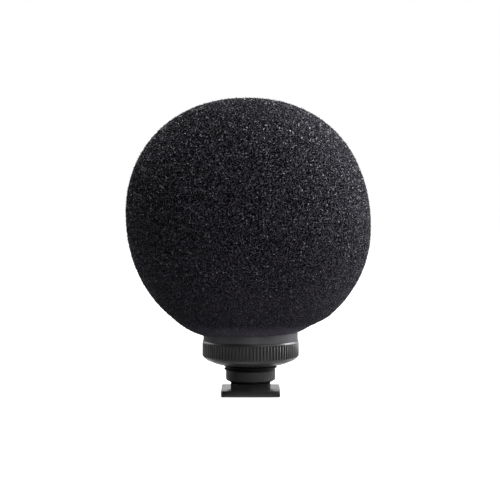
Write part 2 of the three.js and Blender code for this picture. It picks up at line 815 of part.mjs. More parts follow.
// The ball's outline from its flat underside round to the crown
function foamOutline(bottom, centre) {
  const outline = [];
  const rim = (centre - bottom) / foamRadius;
  const first = -Math.asin(rim ** (foamSkirtPower / 2));
  for (let i = 0; i < 2 * ballSteps; i++) {
    const angle = first + ((Math.PI / 2 - first) * i) / (2 * ballSteps);
    const power = 2 / (angle < 0 ? foamSkirtPower : foamCrownPower);
    const radius = foamRadius * Math.cos(angle) ** power;
    const rise = foamRadius * Math.sign(angle) * Math.abs(Math.sin(angle)) ** power;
    outline.push([radius, centre + rise]);
  }
  return outline;
}

// Foam ball with a blind bore that fits the body, a wider mouth that fits the collar, and a relief
// over the socket's boss
function foamWindscreen() {
  const seat = baseTop + foamSeatGap;
  const bottom = seat - foamSkirt;
  const skirt = baseRadius + foamGap;
  const rimShare = ((skirt + foamLip) / foamRadius) ** foamSkirtPower;
  const centre = bottom + foamRadius * (1 - rimShare) ** (1 / foamSkirtPower);
  const bore = bodyRadius + foamGap;
  const profile = [
    [bore, seat], [skirt, seat], [skirt, bottom], ...foamOutline(bottom, centre),
    [0, centre + foamRadius], [0, domeCentre + bore],
    ...quarter(bore, domeCentre, domeSteps).reverse(), [bore, seat],
  ];
  const relief = prismAlongY(archOutline(notchGap, -overrun), 0, foamRadius);
  const body = revolve(profile, foamSides).subtract(relief.translate([0, 0, baseBottom]));
  return piece("foam_windscreen", body, finish.foam);
}

const microphone = new THREE.Group();
microphone.add(
  shoeFoot(),
  ...footScrews(),
  stem(),
  clampWasher(),
  lockWheel(),
  baseHousing(),
  ...stemScrews(),
  outputJack(),
  jackNut(),
  bodyTube(),
  ...bodyScrews(),
  amplifierBoard(),
  headRing(),
  suspensionRing(),
  capsuleCradle(),
  ...capsulePair(),
  ...capsules.map(capsuleLead),
  grilleCage(),
  foamWindscreen(),
);

export default microphone;
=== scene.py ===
# %% [markdown]
# # A foam-covered microphone for a camera's accessory shoe
#
# The real object is a ball of open-cell foam pulled over a slotted metal head, on a short body
# that stands on a ribbed locking wheel, a threaded stem and a flat T-shaped foot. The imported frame
# already holds every piece at its real size. This lesson gives each piece its finish, and makes
# new, finer pieces in the same places where the frame's facets would show.

# %% Load the frame
import math
from functools import partial

import bmesh
import bpy
from mathutils import Matrix, Vector


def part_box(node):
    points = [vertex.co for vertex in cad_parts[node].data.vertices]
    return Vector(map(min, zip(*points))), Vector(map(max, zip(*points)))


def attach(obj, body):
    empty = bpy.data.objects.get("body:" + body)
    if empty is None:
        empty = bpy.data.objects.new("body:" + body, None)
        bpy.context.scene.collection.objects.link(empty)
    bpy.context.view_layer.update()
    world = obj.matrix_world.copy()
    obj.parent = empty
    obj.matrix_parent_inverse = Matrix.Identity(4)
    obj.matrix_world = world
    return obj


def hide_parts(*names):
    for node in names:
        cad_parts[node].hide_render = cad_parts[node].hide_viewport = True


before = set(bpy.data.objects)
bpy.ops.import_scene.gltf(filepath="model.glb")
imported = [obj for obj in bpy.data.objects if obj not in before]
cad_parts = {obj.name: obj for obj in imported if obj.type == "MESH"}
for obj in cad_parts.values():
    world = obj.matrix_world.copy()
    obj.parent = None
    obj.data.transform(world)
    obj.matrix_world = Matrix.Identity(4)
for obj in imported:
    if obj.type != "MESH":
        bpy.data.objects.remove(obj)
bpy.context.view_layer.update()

# %% [markdown]
# ## Sizes
#
# Everything is in metres, but the pieces are small, so sizes are written in millimetres and scaled
# once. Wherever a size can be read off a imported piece, it is read from that piece's box, so that
# the two models can't drift apart.

# %% Sizes read from the frame
MM = 0.001
FIT_GAP = 0.1
OVERRUN = 1


def low(node):
    """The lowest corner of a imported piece, in millimetres."""
    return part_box(node)[0] / MM


def high(node):
    """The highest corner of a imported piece, in millimetres."""
    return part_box(node)[1] / MM


def middle(node):
    """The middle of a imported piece's box, in millimetres."""
    return (low(node) + high(node)) / 2


foot_high = high("shoe_foot")
stem_low, stem_high = low("stem"), high("stem")
wheel_low, wheel_high = low("lock_wheel"), high("lock_wheel")
washer_low, washer_high = low("clamp_washer"), high("clamp_washer")
base_low, base_high = low("base_housing"), high("base_housing")
tube_low, tube_high = low("body_tube"), high("body_tube")
cage_low, cage_high = low("grille_cage"), high("grille_cage")
foam_low, foam_high = low("foam_windscreen"), high("foam_windscreen")
wheel_radius = wheel_high.x
body_radius = tube_high.x
dome_centre = cage_high.z - cage_high.x
print("wheel radius", round(wheel_radius, 2), "body radius", round(body_radius, 2))

# %% [markdown]
# ## Camera
#
# The photograph is a plain front view from a little above: the top faces of the foot show as two
# light slivers. Two things fix the camera. The foot is a standard width, so its front edge gives
# the scale, and the amount of top face that shows gives the height. The lens then follows from the
# scale at the stem's axis.

# %% Camera
PHOTO_SIDE = 500
PIXELS_PER_MM = 3.146
CAMERA_DISTANCE = 500
CAMERA_HEIGHT = 67.16
AIM_HEIGHT = 45.96
AXIS_SHIFT = 0.2
NEAR_LIMIT = 10

camera = bpy.data.objects.new("camera", bpy.data.cameras.new("camera"))
bpy.context.scene.collection.objects.link(camera)
bpy.context.scene.camera = camera
camera.location = Vector((-AXIS_SHIFT, -CAMERA_DISTANCE, CAMERA_HEIGHT)) * MM
aim = Vector((-AXIS_SHIFT, 0, AIM_HEIGHT)) * MM
camera.rotation_mode = "QUATERNION"
camera.rotation_quaternion = (aim - camera.location).to_track_quat("-Z", "Y")
reach = (aim - camera.location).length / MM
camera.data.lens = camera.data.sensor_width * PIXELS_PER_MM * reach / PHOTO_SIDE
camera.data.clip_start = NEAR_LIMIT * MM
print("lens", round(camera.data.lens, 1), "mm")

# %% [markdown]
# ## Helpers for nodes and meshes
#
# Materials and Geometry Nodes are both trees, so one small function adds a node to either of them.
# It takes the node's settings by name and its inputs as values or as links. Most nodes are sums or
# ranges, so those two get a function each.


# %% Node helpers
def add_node(tree, kind, inputs=None, **settings):
    """A new node. An input is given by name or number, as a value or as another node's output."""
    node = tree.nodes.new(kind)
    for name, value in settings.items():
        setattr(node, name, value)
    for key, value in (inputs or {}).items():
        if isinstance(value, bpy.types.NodeSocket):
            tree.links.new(value, node.inputs[key])
        else:
            node.inputs[key].default_value = value
    return node


def add_maths(tree, operation, *values):
    """A Math node on up to three values."""
    return add_node(tree, "ShaderNodeMath", dict(enumerate(values)), operation=operation).outputs[0]


def add_ramp(tree, value, lowest, highest, to_lowest=0.0, to_highest=1.0, smooth=False):
    """Maps a value from one range to another, with its ends held."""
    kind = "SMOOTHSTEP" if smooth else "LINEAR"
    ends = {"Value": value, "From Min": lowest, "From Max": highest}
    ends.update({"To Min": to_lowest, "To Max": to_highest})
    return add_node(tree, "ShaderNodeMapRange", ends, interpolation_type=kind).outputs[0]


def adders(tree):
    """The three functions above, each for one tree."""
    return partial(add_node, tree), partial(add_maths, tree), partial(add_ramp, tree)


# %% Mesh helpers
LATHE_SEGMENTS = 128
CORNER_STEPS = 4
CREASE_ANGLE = 32
BEVEL_ANGLE = 25


def new_object(name, mesh):
    """An object at the origin that shows a mesh."""
    made = bpy.data.objects.new(name, mesh)
    bpy.context.scene.collection.objects.link(made)
    return made


def from_bmesh(name, shape):
    """Turns a bmesh into an object, with its faces pointing out."""
    bmesh.ops.recalc_face_normals(shape, faces=shape.faces)
    mesh = bpy.data.meshes.new(name)
    shape.to_mesh(mesh)
    shape.free()
    return new_object(name, mesh)


def settle(piece):
    """Turns what a piece's modifiers make into its plain mesh, and removes the modifiers."""
    graph = bpy.context.evaluated_depsgraph_get()
    graph.update()
    mesh = bpy.data.meshes.new_from_object(piece.evaluated_get(graph))
    piece.modifiers.clear()
    piece.data = mesh
    mesh.name = piece.name
    return piece


def shade(piece, degrees=CREASE_ANGLE):
    """Smooth shading, with a crease wherever two faces meet at more than an angle."""
    piece.data.shade_smooth()
    piece.data.set_sharp_from_angle(angle=math.radians(degrees))
    return piece


def lathe(name, profile, segments=LATHE_SEGMENTS):
    """Turns a profile of (radius, height) points, in millimetres, round the Z axis. A profile that
    starts on the axis ends on it, and any other is closed."""
    shape = bmesh.new()
    turn = [math.tau * i / segments for i in range(segments)]
    rings = []
    for radius, height in profile:
        around = turn if radius else [0]
        rings.append([
            shape.verts.new((radius * math.cos(a) * MM, radius * math.sin(a) * MM, height * MM))
            for a in around
        ])
    closed = profile[0][0] != 0
    for one, two in zip(rings, rings[1:] + rings[:1] if closed else rings[1:]):
        if len(one) == len(two) == 1:
            continue
        for i in range(segments):
            j = (i + 1) % segments
            corners = [one[i % len(one)], one[j % len(one)], two[j % len(two)], two[i % len(two)]]
            shape.faces.new(list(dict.fromkeys(corners)))
    return from_bmesh(name, shape)


def rounded(points, radius):
    """A closed outline with every corner rounded, as far as its two sides leave room."""
    corners = [Vector(p) for p in points]
    outline = []
    for i, corner in enumerate(corners):
        before = corners[i - 1] - corner
        after = corners[(i + 1) % len(corners)] - corner
        half = before.angle(after) / 2
        back = min(radius / math.tan(half), 0.45 * before.length, 0.45 * after.length)
        start = corner + before.normalized() * back
        end = corner + after.normalized() * back
        for step in range(CORNER_STEPS + 1):
            t = step / CORNER_STEPS
            outline.append(start.lerp(corner, t).lerp(corner.lerp(end, t), t))
    return [tuple(point) for point in outline]


def turned(name, points, radius, segments=LATHE_SEGMENTS):
    """A lathe from a closed profile with its corners rounded."""
    return lathe(name, rounded(points, radius), segments)


def ring(inner, outer, bottom, top):
    """The profile of a plain ring."""
    return [(inner, bottom), (outer, bottom), (outer, top), (inner, top)]


def pin(radius, bottom, top, segments):
    """A solid cylinder round the Z axis, to cut with."""
    return lathe("pin", [(0, bottom), (radius, bottom), (radius, top), (0, top)], segments)


def mirrored(side):
    """A closed outline from its right-hand side, which is given from the bottom up."""
    left = [(-x, y) for x, y in side]
    return [left[0], *side, *reversed(left[1:])]


def column(name, outline, bottom, top):
    """Raises a closed outline of (x, y) points along Z, in millimetres."""
    shape = bmesh.new()
    face = shape.faces.new([shape.verts.new((x * MM, y * MM, bottom * MM)) for x, y in outline])
    grown = bmesh.ops.extrude_face_region(shape, geom=[face])
    moved = [part for part in grown["geom"] if isinstance(part, bmesh.types.BMVert)]
    bmesh.ops.translate(shape, vec=(0, 0, (top - bottom) * MM), verts=moved)
    return from_bmesh(name, shape)


def place(piece, x=0, y=0, z=0, about=None, degrees=0):
    """Turns a piece's mesh about an axis and then moves it, in millimetres."""
    if about:
        piece.data.transform(Matrix.Rotation(math.radians(degrees), 4, about))
    piece.data.transform(Matrix.Translation(Vector((x, y, z)) * MM))
    return piece


def prism(name, outline, front, back):
    """Pushes a closed outline of (x, z) points along Y, in millimetres."""
    return place(column(name, outline, -back, -front), about="X", degrees=90)


def combine(piece, other, operation="DIFFERENCE"):
    """Cuts, joins or limits a piece by another, which is then gone. The solver likes large numbers,
    so both are worked on in millimetres."""
    for one in (piece, other):
        one.data.transform(Matrix.Scale(1 / MM, 4))
    change = piece.modifiers.new(operation.lower(), "BOOLEAN")
    change.operation = operation
    change.object = other
    change.solver = "EXACT"
    settle(piece)
    piece.data.transform(Matrix.Scale(MM, 4))
    bpy.data.objects.remove(other)
    return piece


def soften(piece, width, segments=2):
    """Rounds a piece's sharp edges by a width in millimetres."""
    edge = piece.modifiers.new("edge", "BEVEL")
    edge.width = width * MM
    edge.segments = segments
    edge.limit_method = "ANGLE"
    edge.angle_limit = math.radians(BEVEL_ANGLE)
    return shade(settle(piece))


# %% [markdown]
# Geometry Nodes make what repeats here: the screws, the stem's thread, the wheel's ribs, the cage's
# slots, the small holes, the foam's skin and its strut ends. Each tree gets its sizes as named
# inputs. A modifier stores those under each input's identifier, so the helper looks the identifier
# up by name.


# %% Geometry Nodes helpers
def empty_tree(name, *sizes):
    """A tree that takes a mesh and named sizes and gives a mesh."""
    tree = bpy.data.node_groups.new(name, "GeometryNodeTree")
    tree.interface.new_socket("Geometry", in_out="INPUT", socket_type="NodeSocketGeometry")
    for size in sizes:
        tree.interface.new_socket(size, in_out="INPUT", socket_type="NodeSocketFloat")
    tree.interface.new_socket("Geometry", in_out="OUTPUT", socket_type="NodeSocketGeometry")
    return tree, tree.nodes.new("NodeGroupInput").outputs


def end_tree(tree, geometry, material, join=None):
    """Ends a tree: another mesh may be joined, instances are made real, the material is set."""
    if join:
        joined = add_node(tree, "GeometryNodeJoinGeometry")
        tree.links.new(geometry, joined.inputs[0])
        tree.links.new(join, joined.inputs[0])
        geometry = joined.outputs[0]
    real = add_node(tree, "GeometryNodeRealizeInstances", {"Geometry": geometry}).outputs[0]
    dressed = add_node(tree, "GeometryNodeSetMaterial", {"Geometry": real, "Material": material})
    leave = tree.nodes.new("NodeGroupOutput")
    tree.links.new(dressed.outputs[0], leave.inputs[0])
    return tree


def run_tree(piece, tree, **sizes):
    """Runs a tree on a piece with its sizes, and keeps the result as a plain mesh."""
    modifier = piece.modifiers.new(tree.name, "NODES")
    modifier.node_group = tree
    for item in tree.interface.items_tree:
        if item.name in sizes:
            modifier[item.identifier] = float(sizes[item.name])
    return settle(piece)


# %% [markdown]
# ## Finishes
#
# None of these surfaces is one flat colour. A moulded part has a fine spark-eroded grain, a turned
# part has faint rings from the tool, and rubber has a bloom. One function covers the hard finishes:
# a noise at the grain's real size drives a small bump, and a wider, softer noise shifts the colour
# and the roughness, as handling does. Two of them change at a height: the wheel's rim is smoother
# than its ribs and its colour is raised a little as a painted highlight, and the stem's colour is
# cut to near black above the thread's start as painted shade under the wheel. Values that are the
# same everywhere stay on the shader itself.

# %% Hard finishes
NOISE_RANGE = (0.3, 0.7)
MOTTLE_RANGE = (0.35, 0.65)
GRAIN_SHARE = 0.4
RING_SCALE, RING_WOBBLE, RING_SHARE = 0.3, 0.6, 0.6
BAND_EDGE = 0.05
THREAD_START = 3.6


def new_material(name, **values):
    """A material with values on its shader's sockets, with its tree and the shader's inputs."""
    material = bpy.data.materials.new(name)
    material.use_nodes = True
    inputs = material.node_tree.nodes["Principled BSDF"].inputs
    for label, value in values.items():
        inputs[label.replace("_", " ")].default_value = value
    return material, material.node_tree, inputs


def hard_finish(name, colour, roughness, grain=0.25, relief=0.006, cloud=6.0, vary=0.25,
                spread=0.12, rings=0.0, band=None, **shader):
    """A Principled material with a grain and a cloud, both sized in millimetres. A band is a height
    and the shares of the roughness and the colour that are left above it; the colour's share is
    painted light or shade."""
    material, tree, inputs = new_material(name, **shader)
    node, maths, ramp = adders(tree)
    spot = node("ShaderNodeTexCoord").outputs["Object"]
    fine, wide = (
        node("ShaderNodeTexNoise", {"Vector": spot, "Scale": 1 / (size * MM), "Detail": detail})
        .outputs[0] for size, detail in ((grain, 3), (cloud, 4))
    )
    tint = ramp(wide, *NOISE_RANGE, 1 - vary, 1 + vary)
    mottle = maths("MULTIPLY_ADD", fine, GRAIN_SHARE, maths("MULTIPLY", wide, 1 - GRAIN_SHARE))
    rough = ramp(mottle, *MOTTLE_RANGE, roughness - spread, roughness + spread)
    if band:
        start, smoother, painted_light_share = band
        upright = node("ShaderNodeSeparateXYZ", {0: spot}).outputs["Z"]
        above = partial(ramp, upright, (start - BAND_EDGE) * MM, (start + BAND_EDGE) * MM, 1.0)
        rough = maths("MULTIPLY", rough, above(smoother))
        # Above the band's height the colour is scaled by the band's share: painted light or shade.
        tint = maths("MULTIPLY", tint, above(painted_light_share))
    mixed = node("ShaderNodeMix", {"Factor": 1.0, 6: (*colour, 1), 7: tint},
                 data_type="RGBA", blend_type="MULTIPLY")
    height = fine
    if rings:
        wave = node("ShaderNodeTexWave", {
            "Vector": spot, "Scale": RING_SCALE / (rings * MM), "Distortion": RING_WOBBLE,
        }, wave_type="RINGS", rings_direction="Z")
        height = maths("MULTIPLY_ADD", wave.outputs["Fac"], RING_SHARE, fine)
    bump = node("ShaderNodeBump", {"Height": height, "Distance": relief * MM})
    tree.links.new(mixed.outputs[2], inputs["Base Color"])
    tree.links.new(rough, inputs["Roughness"])
    tree.links.new(bump.outputs[0], inputs["Normal"])
    return material


finishes = {
    # The rim above the wheel's top is smoother than the ribs, and its colour is raised by a tenth as
    # a painted highlight.
    "wheel_plastic": hard_finish(
        "satin_black_wheel", (0.012, 0.012, 0.0135), 0.42,
        band=(wheel_high.z, 0.88, 1.1), Specular_IOR_Level=0.42,
    ),
    "base_plastic": hard_finish(
        "satin_black_base", (0.067, 0.067, 0.073), 0.6, Specular_IOR_Level=0.06,
    ),
    # Above the thread's start the stem's colour falls to 0.14 of itself: painted shade under the
    # wheel.
    "stem_metal": hard_finish(
        "turned_black_stem", (0.034, 0.034, 0.0355), 0.55, grain=0.15, relief=0.003, rings=0.12,
        band=(stem_low.z + THREAD_START, 1.1, 0.14), Specular_IOR_Level=0.07,
    ),
    "foot_metal": hard_finish(
        "smooth_black_foot", (0.004, 0.004, 0.0043), 0.25, relief=0.002, spread=0.05,
        Specular_IOR_Level=0.4,
    ),
    "body_metal": hard_finish(
        "anodised_black_body", (0.016, 0.016, 0.018), 0.34, grain=0.12, relief=0.003,
        Specular_IOR_Level=0.6, Metallic=0.3,
    ),
    "black_steel": hard_finish(
        "blackened_screws", (0.05, 0.05, 0.055), 0.32, grain=0.1, relief=0.002, Metallic=0.9,
    ),
    "nickel": hard_finish(
        "nickel_plate", (0.46, 0.445, 0.42), 0.32, grain=0.12, relief=0.002, vary=0.08,
        spread=0.08, Metallic=1.0,
    ),
    "can": hard_finish(
        "bright_can", (0.7, 0.7, 0.71), 0.28, grain=0.12, relief=0.002, vary=0.08, Metallic=1.0,
    ),
    "rubber": hard_finish(
        "matt_rubber", (0.014, 0.014, 0.015), 0.75, grain=0.18, relief=0.01,
        Specular_IOR_Level=0.3,
    ),
    "laminate": hard_finish(
        "green_laminate", (0.012, 0.09, 0.035), 0.35, grain=0.6, relief=0.004, cloud=2.0,
        Specular_IOR_Level=0.5,
    ),
    "moulding": hard_finish(
        "black_moulding", (0.018, 0.018, 0.02), 0.5, Specular_IOR_Level=0.4,
    ),
    "ivory": hard_finish("ivory_moulding", (0.72, 0.68, 0.56), 0.45, vary=0.08),
    "lead_red": hard_finish("red_sleeve", (0.34, 0.018, 0.015), 0.4, grain=0.3, vary=0.12),
    "lead_grey": hard_finish("grey_sleeve", (0.26, 0.26, 0.27), 0.4, grain=0.3, vary=0.12),
}
print(len(finishes), "hard finishes")

# %% [markdown]
# Open-cell foam is a net of thin struts round cells less than a millimetre wide. Light falls into
# them and is lost, so the surface reads as near-black specks between slightly lighter, faintly
# blue struts, and here and there a strut that lies just right shines. A Voronoi pattern is exactly
# such a net: the distance to a cell's border is small on a strut and large in a cell's middle, and
# the cells' near-black colour is painted shade. A finer noise breaks the struts up, and a second,
# sparse pattern of dots paints in the glints as painted highlights, fewer of them lower down.
# Towards the lip, where the ball is squeezed round the collar, the cells close and the skin turns
# smoother and paler; that paleness, and a paler, flatter speckle over the lower part of the ball,
# is also painted light.

# %% Foam finish
CELL = 0.72
STRUT_RANGE = (0.03, 0.24)
BREAK_SIZE = 0.42
BREAK_RANGE = (0.43, 0.64)
BREAK_GAIN = 1.4
GLINT_SPACING = 1.0
GLINT_RANGE = (0.1, 0.26)
GLINT_CHANCE = 0.35
STRUT_COLOUR = (0.088, 0.082, 0.105)
# The cells' near-black colour is painted shade, for the light lost in the pores.
CELL_SHADE_COLOUR = (0.0006, 0.0006, 0.0007)
# Painted highlights: the colour of the glint dots.
PAINTED_GLINT_COLOUR = (0.42, 0.42, 0.45)
FOAM_BUMP = 0.45
# Painted light: the skin is paled towards the lip, where the cells also close, and a little over the
# lower ball, where the painted glints also thin out.
LIP_LOW, LIP_HIGH, LIP_CLOSED_AND_LIT = 20.5, 25, 0.6
PAINTED_LOW_TOP, PAINTED_LOW_SHARE, PAINTED_GLINTS_LOW = 50, 0.13, 0.25


def foam_finish(name):
    """Specked foam: broken lighter struts round cells painted near-black as shade, a few painted
    glints, and a skin that is paler towards the lip, where the cells close, and towards the bottom,
    as painted light.
    """
    material, tree, inputs = new_material(
        name, Roughness=0.9, Specular_IOR_Level=0.02, Sheen_Weight=0.02, Sheen_Roughness=0.4
    )
    node, maths, ramp = adders(tree)
    spot = node("ShaderNodeTexCoord").outputs["Object"]
    upright = node("ShaderNodeSeparateXYZ", {0: spot}).outputs["Z"]
    cells = node("ShaderNodeTexVoronoi", {"Vector": spot, "Scale": 1 / (CELL * MM)},
                 feature="DISTANCE_TO_EDGE")
    breaks = node("ShaderNodeTexNoise", {"Vector": spot, "Scale": 1 / (BREAK_SIZE * MM), "Detail": 1})
    strut = ramp(cells.outputs["Distance"], *STRUT_RANGE, 1.0, 0.0, smooth=True)
    net = maths("MULTIPLY", strut, ramp(breaks.outputs[0], *BREAK_RANGE, 0.0, BREAK_GAIN))
    # Painted light: the net is raised towards the lip, where the cells also close, and a little over
    # the lower ball, which makes the skin paler and flatter there.
    lip = ramp(upright, LIP_LOW * MM, LIP_HIGH * MM, LIP_CLOSED_AND_LIT, 0.0, smooth=True)
    painted_low_light = ramp(upright, LIP_LOW * MM, PAINTED_LOW_TOP * MM, PAINTED_LOW_SHARE, 0.0)
    net = maths("MAXIMUM", net, maths("MAXIMUM", lip, painted_low_light))
    # Painted highlights: sparse dots lighten the colour as glints, fewer of them lower down.
    dots = node("ShaderNodeTexVoronoi", {"Vector": spot, "Scale": 1 / (GLINT_SPACING * MM)}).outputs
    dot = ramp(dots["Distance"], *GLINT_RANGE, 1.0, 0.0, smooth=True)
    chance = node("ShaderNodeSeparateColor", {"Color": dots["Color"]}).outputs[0]
    painted_glint = maths("MULTIPLY", dot, ramp(chance, GLINT_CHANCE, 1.0))
    kept = ramp(upright, LIP_LOW * MM, PAINTED_LOW_TOP * MM, PAINTED_GLINTS_LOW, 1.0)
    painted_glint = maths("MULTIPLY", painted_glint, kept)
    mixed = node("ShaderNodeMix", {"Factor": net, 6: (*CELL_SHADE_COLOUR, 1), 7: (*STRUT_COLOUR, 1)},
                 data_type="RGBA").outputs[2]
    lit = node("ShaderNodeMix", {"Factor": painted_glint, 6: mixed, 7: (*PAINTED_GLINT_COLOUR, 1)},
               data_type="RGBA").outputs[2]
    bump = node("ShaderNodeBump", {"Height": net, "Distance": FOAM_BUMP * MM, "Strength": 1.0})
    tree.links.new(lit, inputs["Base Color"])
    tree.links.new(bump.outputs[0], inputs["Normal"])
    return material


finishes["foam"] = foam_finish("open_cell_foam")
finishes["strut"] = hard_finish(
    "foam_strut_ends", (0.12, 0.114, 0.136), 0.3, grain=0.1, relief=0.002, cloud=1.5, vary=0.7,
    spread=0.1, Specular_IOR_Level=0.9,
)


# %% [markdown]
# ## Dressing a piece
#
# Every new piece moves with a body, takes the finish kept under a slot's name and stands for the
# imported pieces that it replaces, so one call does all of it.


# %% Dress
def dress(piece, slot, *nodes, body="microphone", finish=None):
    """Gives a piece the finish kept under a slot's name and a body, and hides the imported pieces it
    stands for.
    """
    piece.data.materials.clear()
    piece.data.materials.append(finishes[finish or slot])
    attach(piece, body)
    if nodes:
        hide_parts(*nodes)
    print(piece.name, len(piece.data.polygons), "faces")
    return piece


# %% [markdown]
# ## Foot
#
# The foot is a T-section that slides into the shoe from the front or the back. On the real one
# every edge is slightly broken, the lower edges of its two ends more than the rest so that it finds
# its way in. A pushed outline gives the T, two more outlines limit it to the chamfers and the
# rounded plan, four cutters make the screw holes, and a fine bevel catches the light on the edges.

# %% Foot
NECK_WIDTH = 12.5
PLATE_THICKNESS = 2.0
FOOT_CHAMFER = 0.5
FOOT_SIDE_CHAMFER = 0.25
FOOT_CORNER = 0.6
FOOT_EDGE = 0.1
HOLE_SEGMENTS = 48
# Each kind's shank radius, head radius and head height.
SCREW_SIZES = {
    "foot_screw": (0.95, 1.75, 1.0),
    "stem_screw": (0.8, 1.5, 1.1),
    "body_screw": (0.7, 1.25, 0.7),
}


def screw_hole(kind, top, end):
    """A cutter for a countersunk screw round the Z axis, from its head's top to its shank's end."""
    radius, head, cone = SCREW_SIZES[kind]
    radius, head = radius + FIT_GAP, head + FIT_GAP
    way = 1 if end > top else -1
    over = top - way * OVERRUN
    profile = [(0, over), (head, over), (head, top), (radius, top + way * cone), (radius, end)]
    return lathe("hole", [*profile, (0, end)][::way], HOLE_SEGMENTS)


def foot():
    """The T-shaped foot with its chamfers and screw holes."""
    half, end, top = foot_high
    neck = NECK_WIDTH / 2
    section = mirrored([
        (half - FOOT_SIDE_CHAMFER, 0), (half, FOOT_SIDE_CHAMFER), (half, PLATE_THICKNESS),
        (neck, PLATE_THICKNESS), (neck, top),
    ])
    piece = prism("shoe_foot_fine", section, -end, end)
    side = mirrored([(end - FOOT_CHAMFER, 0), (end, FOOT_CHAMFER), (end, top)])
    limit = prism("limit", side, -half - OVERRUN, half + OVERRUN)
    combine(piece, place(limit, about="Z", degrees=90), "INTERSECT")
    across = half - FOOT_CORNER
    along = end - FOOT_CORNER
    plan = mirrored([(across, -end), (half, -along), (half, along), (across, end)])
    combine(piece, column("plan", plan, -OVERRUN, top + OVERRUN), "INTERSECT")
    for i in range(4):
        screw = f"foot_screw_{i + 1}"
        hole = screw_hole("foot_screw", low(screw).z, top + OVERRUN)
        combine(piece, place(hole, middle(screw).x, middle(screw).y))
    return soften(piece, FOOT_EDGE)


dress(foot(), "foot_metal", "shoe_foot")

# %% [markdown]
# ## Screws
#
# The screws come in three sizes, and each kind repeats. Those of the foot and the tube are
# countersunk, and those inside the base have a raised head. The shape is a lathe, and the cross
# recess is two crossed bars cut from its head, once, before any copies are made. The tree then
# sets a copy on every point of a small cloud of points, turned so that its head faces out.

# %% One screw
SCREW_SEGMENTS = 40
POINT_SHARE = 0.7
POINT_LENGTH = 0.3
HEAD_EDGE = 0.08
HEAD_SIDE_SHARE, HEAD_FLAT_SHARE = 0.25, 0.8
CROSS_SPAN_SHARE, CROSS_WIDTH_SHARE = 0.55, 0.12
CROSS_DEPTH = 0.5
BODY_SCREW_LENGTH = 2.4
BODY_SCREW_SINK = 0.1


def screw_shape(kind, length, sunk):
    """A screw with its head's top at the origin and its shank down -Z."""
    radius, head, cone = SCREW_SIZES[kind]
    profile = [
        (0, -length), (radius * POINT_SHARE, -length), (radius, -length + POINT_LENGTH),
        (radius, -cone),
    ]
    if sunk:
        profile += [(head, -HEAD_EDGE), (head - HEAD_EDGE, 0)]
    else:
        profile += [(head, -cone), (head, -HEAD_SIDE_SHARE * cone), (head * HEAD_FLAT_SHARE, 0)]
    piece = lathe(kind, [*profile, (0, 0)], SCREW_SEGMENTS)
    span, width = head * CROSS_SPAN_SHARE, head * CROSS_WIDTH_SHARE
    arm = [Vector(point) for point in ((width, width), (span, width), (span, -width))]
    arms = [Matrix.Rotation(-turn * math.pi / 2, 2) @ point for turn in range(4) for point in arm]
    return shade(combine(piece, column("cross", arms, -min(CROSS_DEPTH, cone / 2), OVERRUN)))


# %% Screws on points
def screw_tree(name, shape):
    """Sets a screw on every vertex of a mesh, with its head facing the way the vertex holds."""
    tree, enter = empty_tree(name, "Scale")
    node, _, _ = adders(tree)
    info = node("GeometryNodeObjectInfo", {"Object": shape})
    facing = node("GeometryNodeInputNamedAttribute", {"Name": "facing"}, data_type="FLOAT_VECTOR")
    turn = node("FunctionNodeAlignRotationToVector", {"Vector": facing.outputs[0]}, axis="Z")
    copies = node("GeometryNodeInstanceOnPoints", {
        "Points": enter["Geometry"], "Instance": info.outputs["Geometry"],
        "Rotation": turn.outputs[0], "Scale": enter["Scale"],
    })
    return end_tree(tree, copies.outputs[0], finishes["black_steel"])


def outward(node):
    """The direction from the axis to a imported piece."""
    return Vector((middle(node).x, middle(node).y, 0)).normalized()


def screw_seat(node, way):
    """Where a packed screw's head ends, which way it faces and how long the screw is."""
    if way:
        length = high(node).z - low(node).z
        return middle(node) + way * length / 2, way, length
    way = outward(node)
    top = way * (body_radius - BODY_SCREW_SINK) + Vector((0, 0, middle(node).z))
    return top, way, BODY_SCREW_LENGTH


def screws(kind, count, sunk=True, way=None):
    """Places a screw for each packed one of a kind. The heads face one way, or else outwards."""
    name = f"{kind}s"
    nodes = [f"{kind}_{i + 1}" for i in range(count)]
    seats = [screw_seat(node, way) for node in nodes]
    mesh = bpy.data.meshes.new(name)
    mesh.from_pydata([tuple(top * MM) for top, _, _ in seats], [], [])
    facing = mesh.attributes.new("facing", "FLOAT_VECTOR", "POINT")
    for row, seat in zip(facing.data, seats):
        row.vector = seat[1]
    piece = new_object(name, mesh)
    shape = screw_shape(kind, seats[0][2], sunk)
    run_tree(piece, screw_tree(f"{name}_tree", shape), Scale=1)
    bpy.data.objects.remove(shape)
    dress(shade(piece), "black_steel", *nodes)


screws("foot_screw", 4, way=Vector((0, 0, -1)))
screws("stem_screw", 3, sunk=False, way=Vector((0, 0, 1)))

# %% [markdown]
# ## Stem and thread
#
# The stem is turned from one bar: a short bevel above the foot, a plain length, and then the thread
# that the wheel runs on. A thread is a profile that follows a helix, so a spiral curve carries a
# small pointed section. The section grows from nothing over the first part of a turn, as a real
# thread does where the cutter runs out.

# %% Stem
STEM_RADIUS = 7.88
STEM_BEVEL = (1.2, 0.7)
STEM_EDGE = 0.12
STEM_TOP_EDGE = 0.3
STEM_SEGMENTS = 160
SPIGOT_RADIUS = 3.2
THREAD_PITCH = 1.0
THREAD_RUNOUT = 0.35
THREAD_FIRST_SHARE = 0.02
THREAD_END_GAP = 0.5
THREAD_WIDTH_SHARE = 0.86
CREST_SHARE = 0.16
SUNK_SHARE = 0.25
HELIX_STEPS = 72

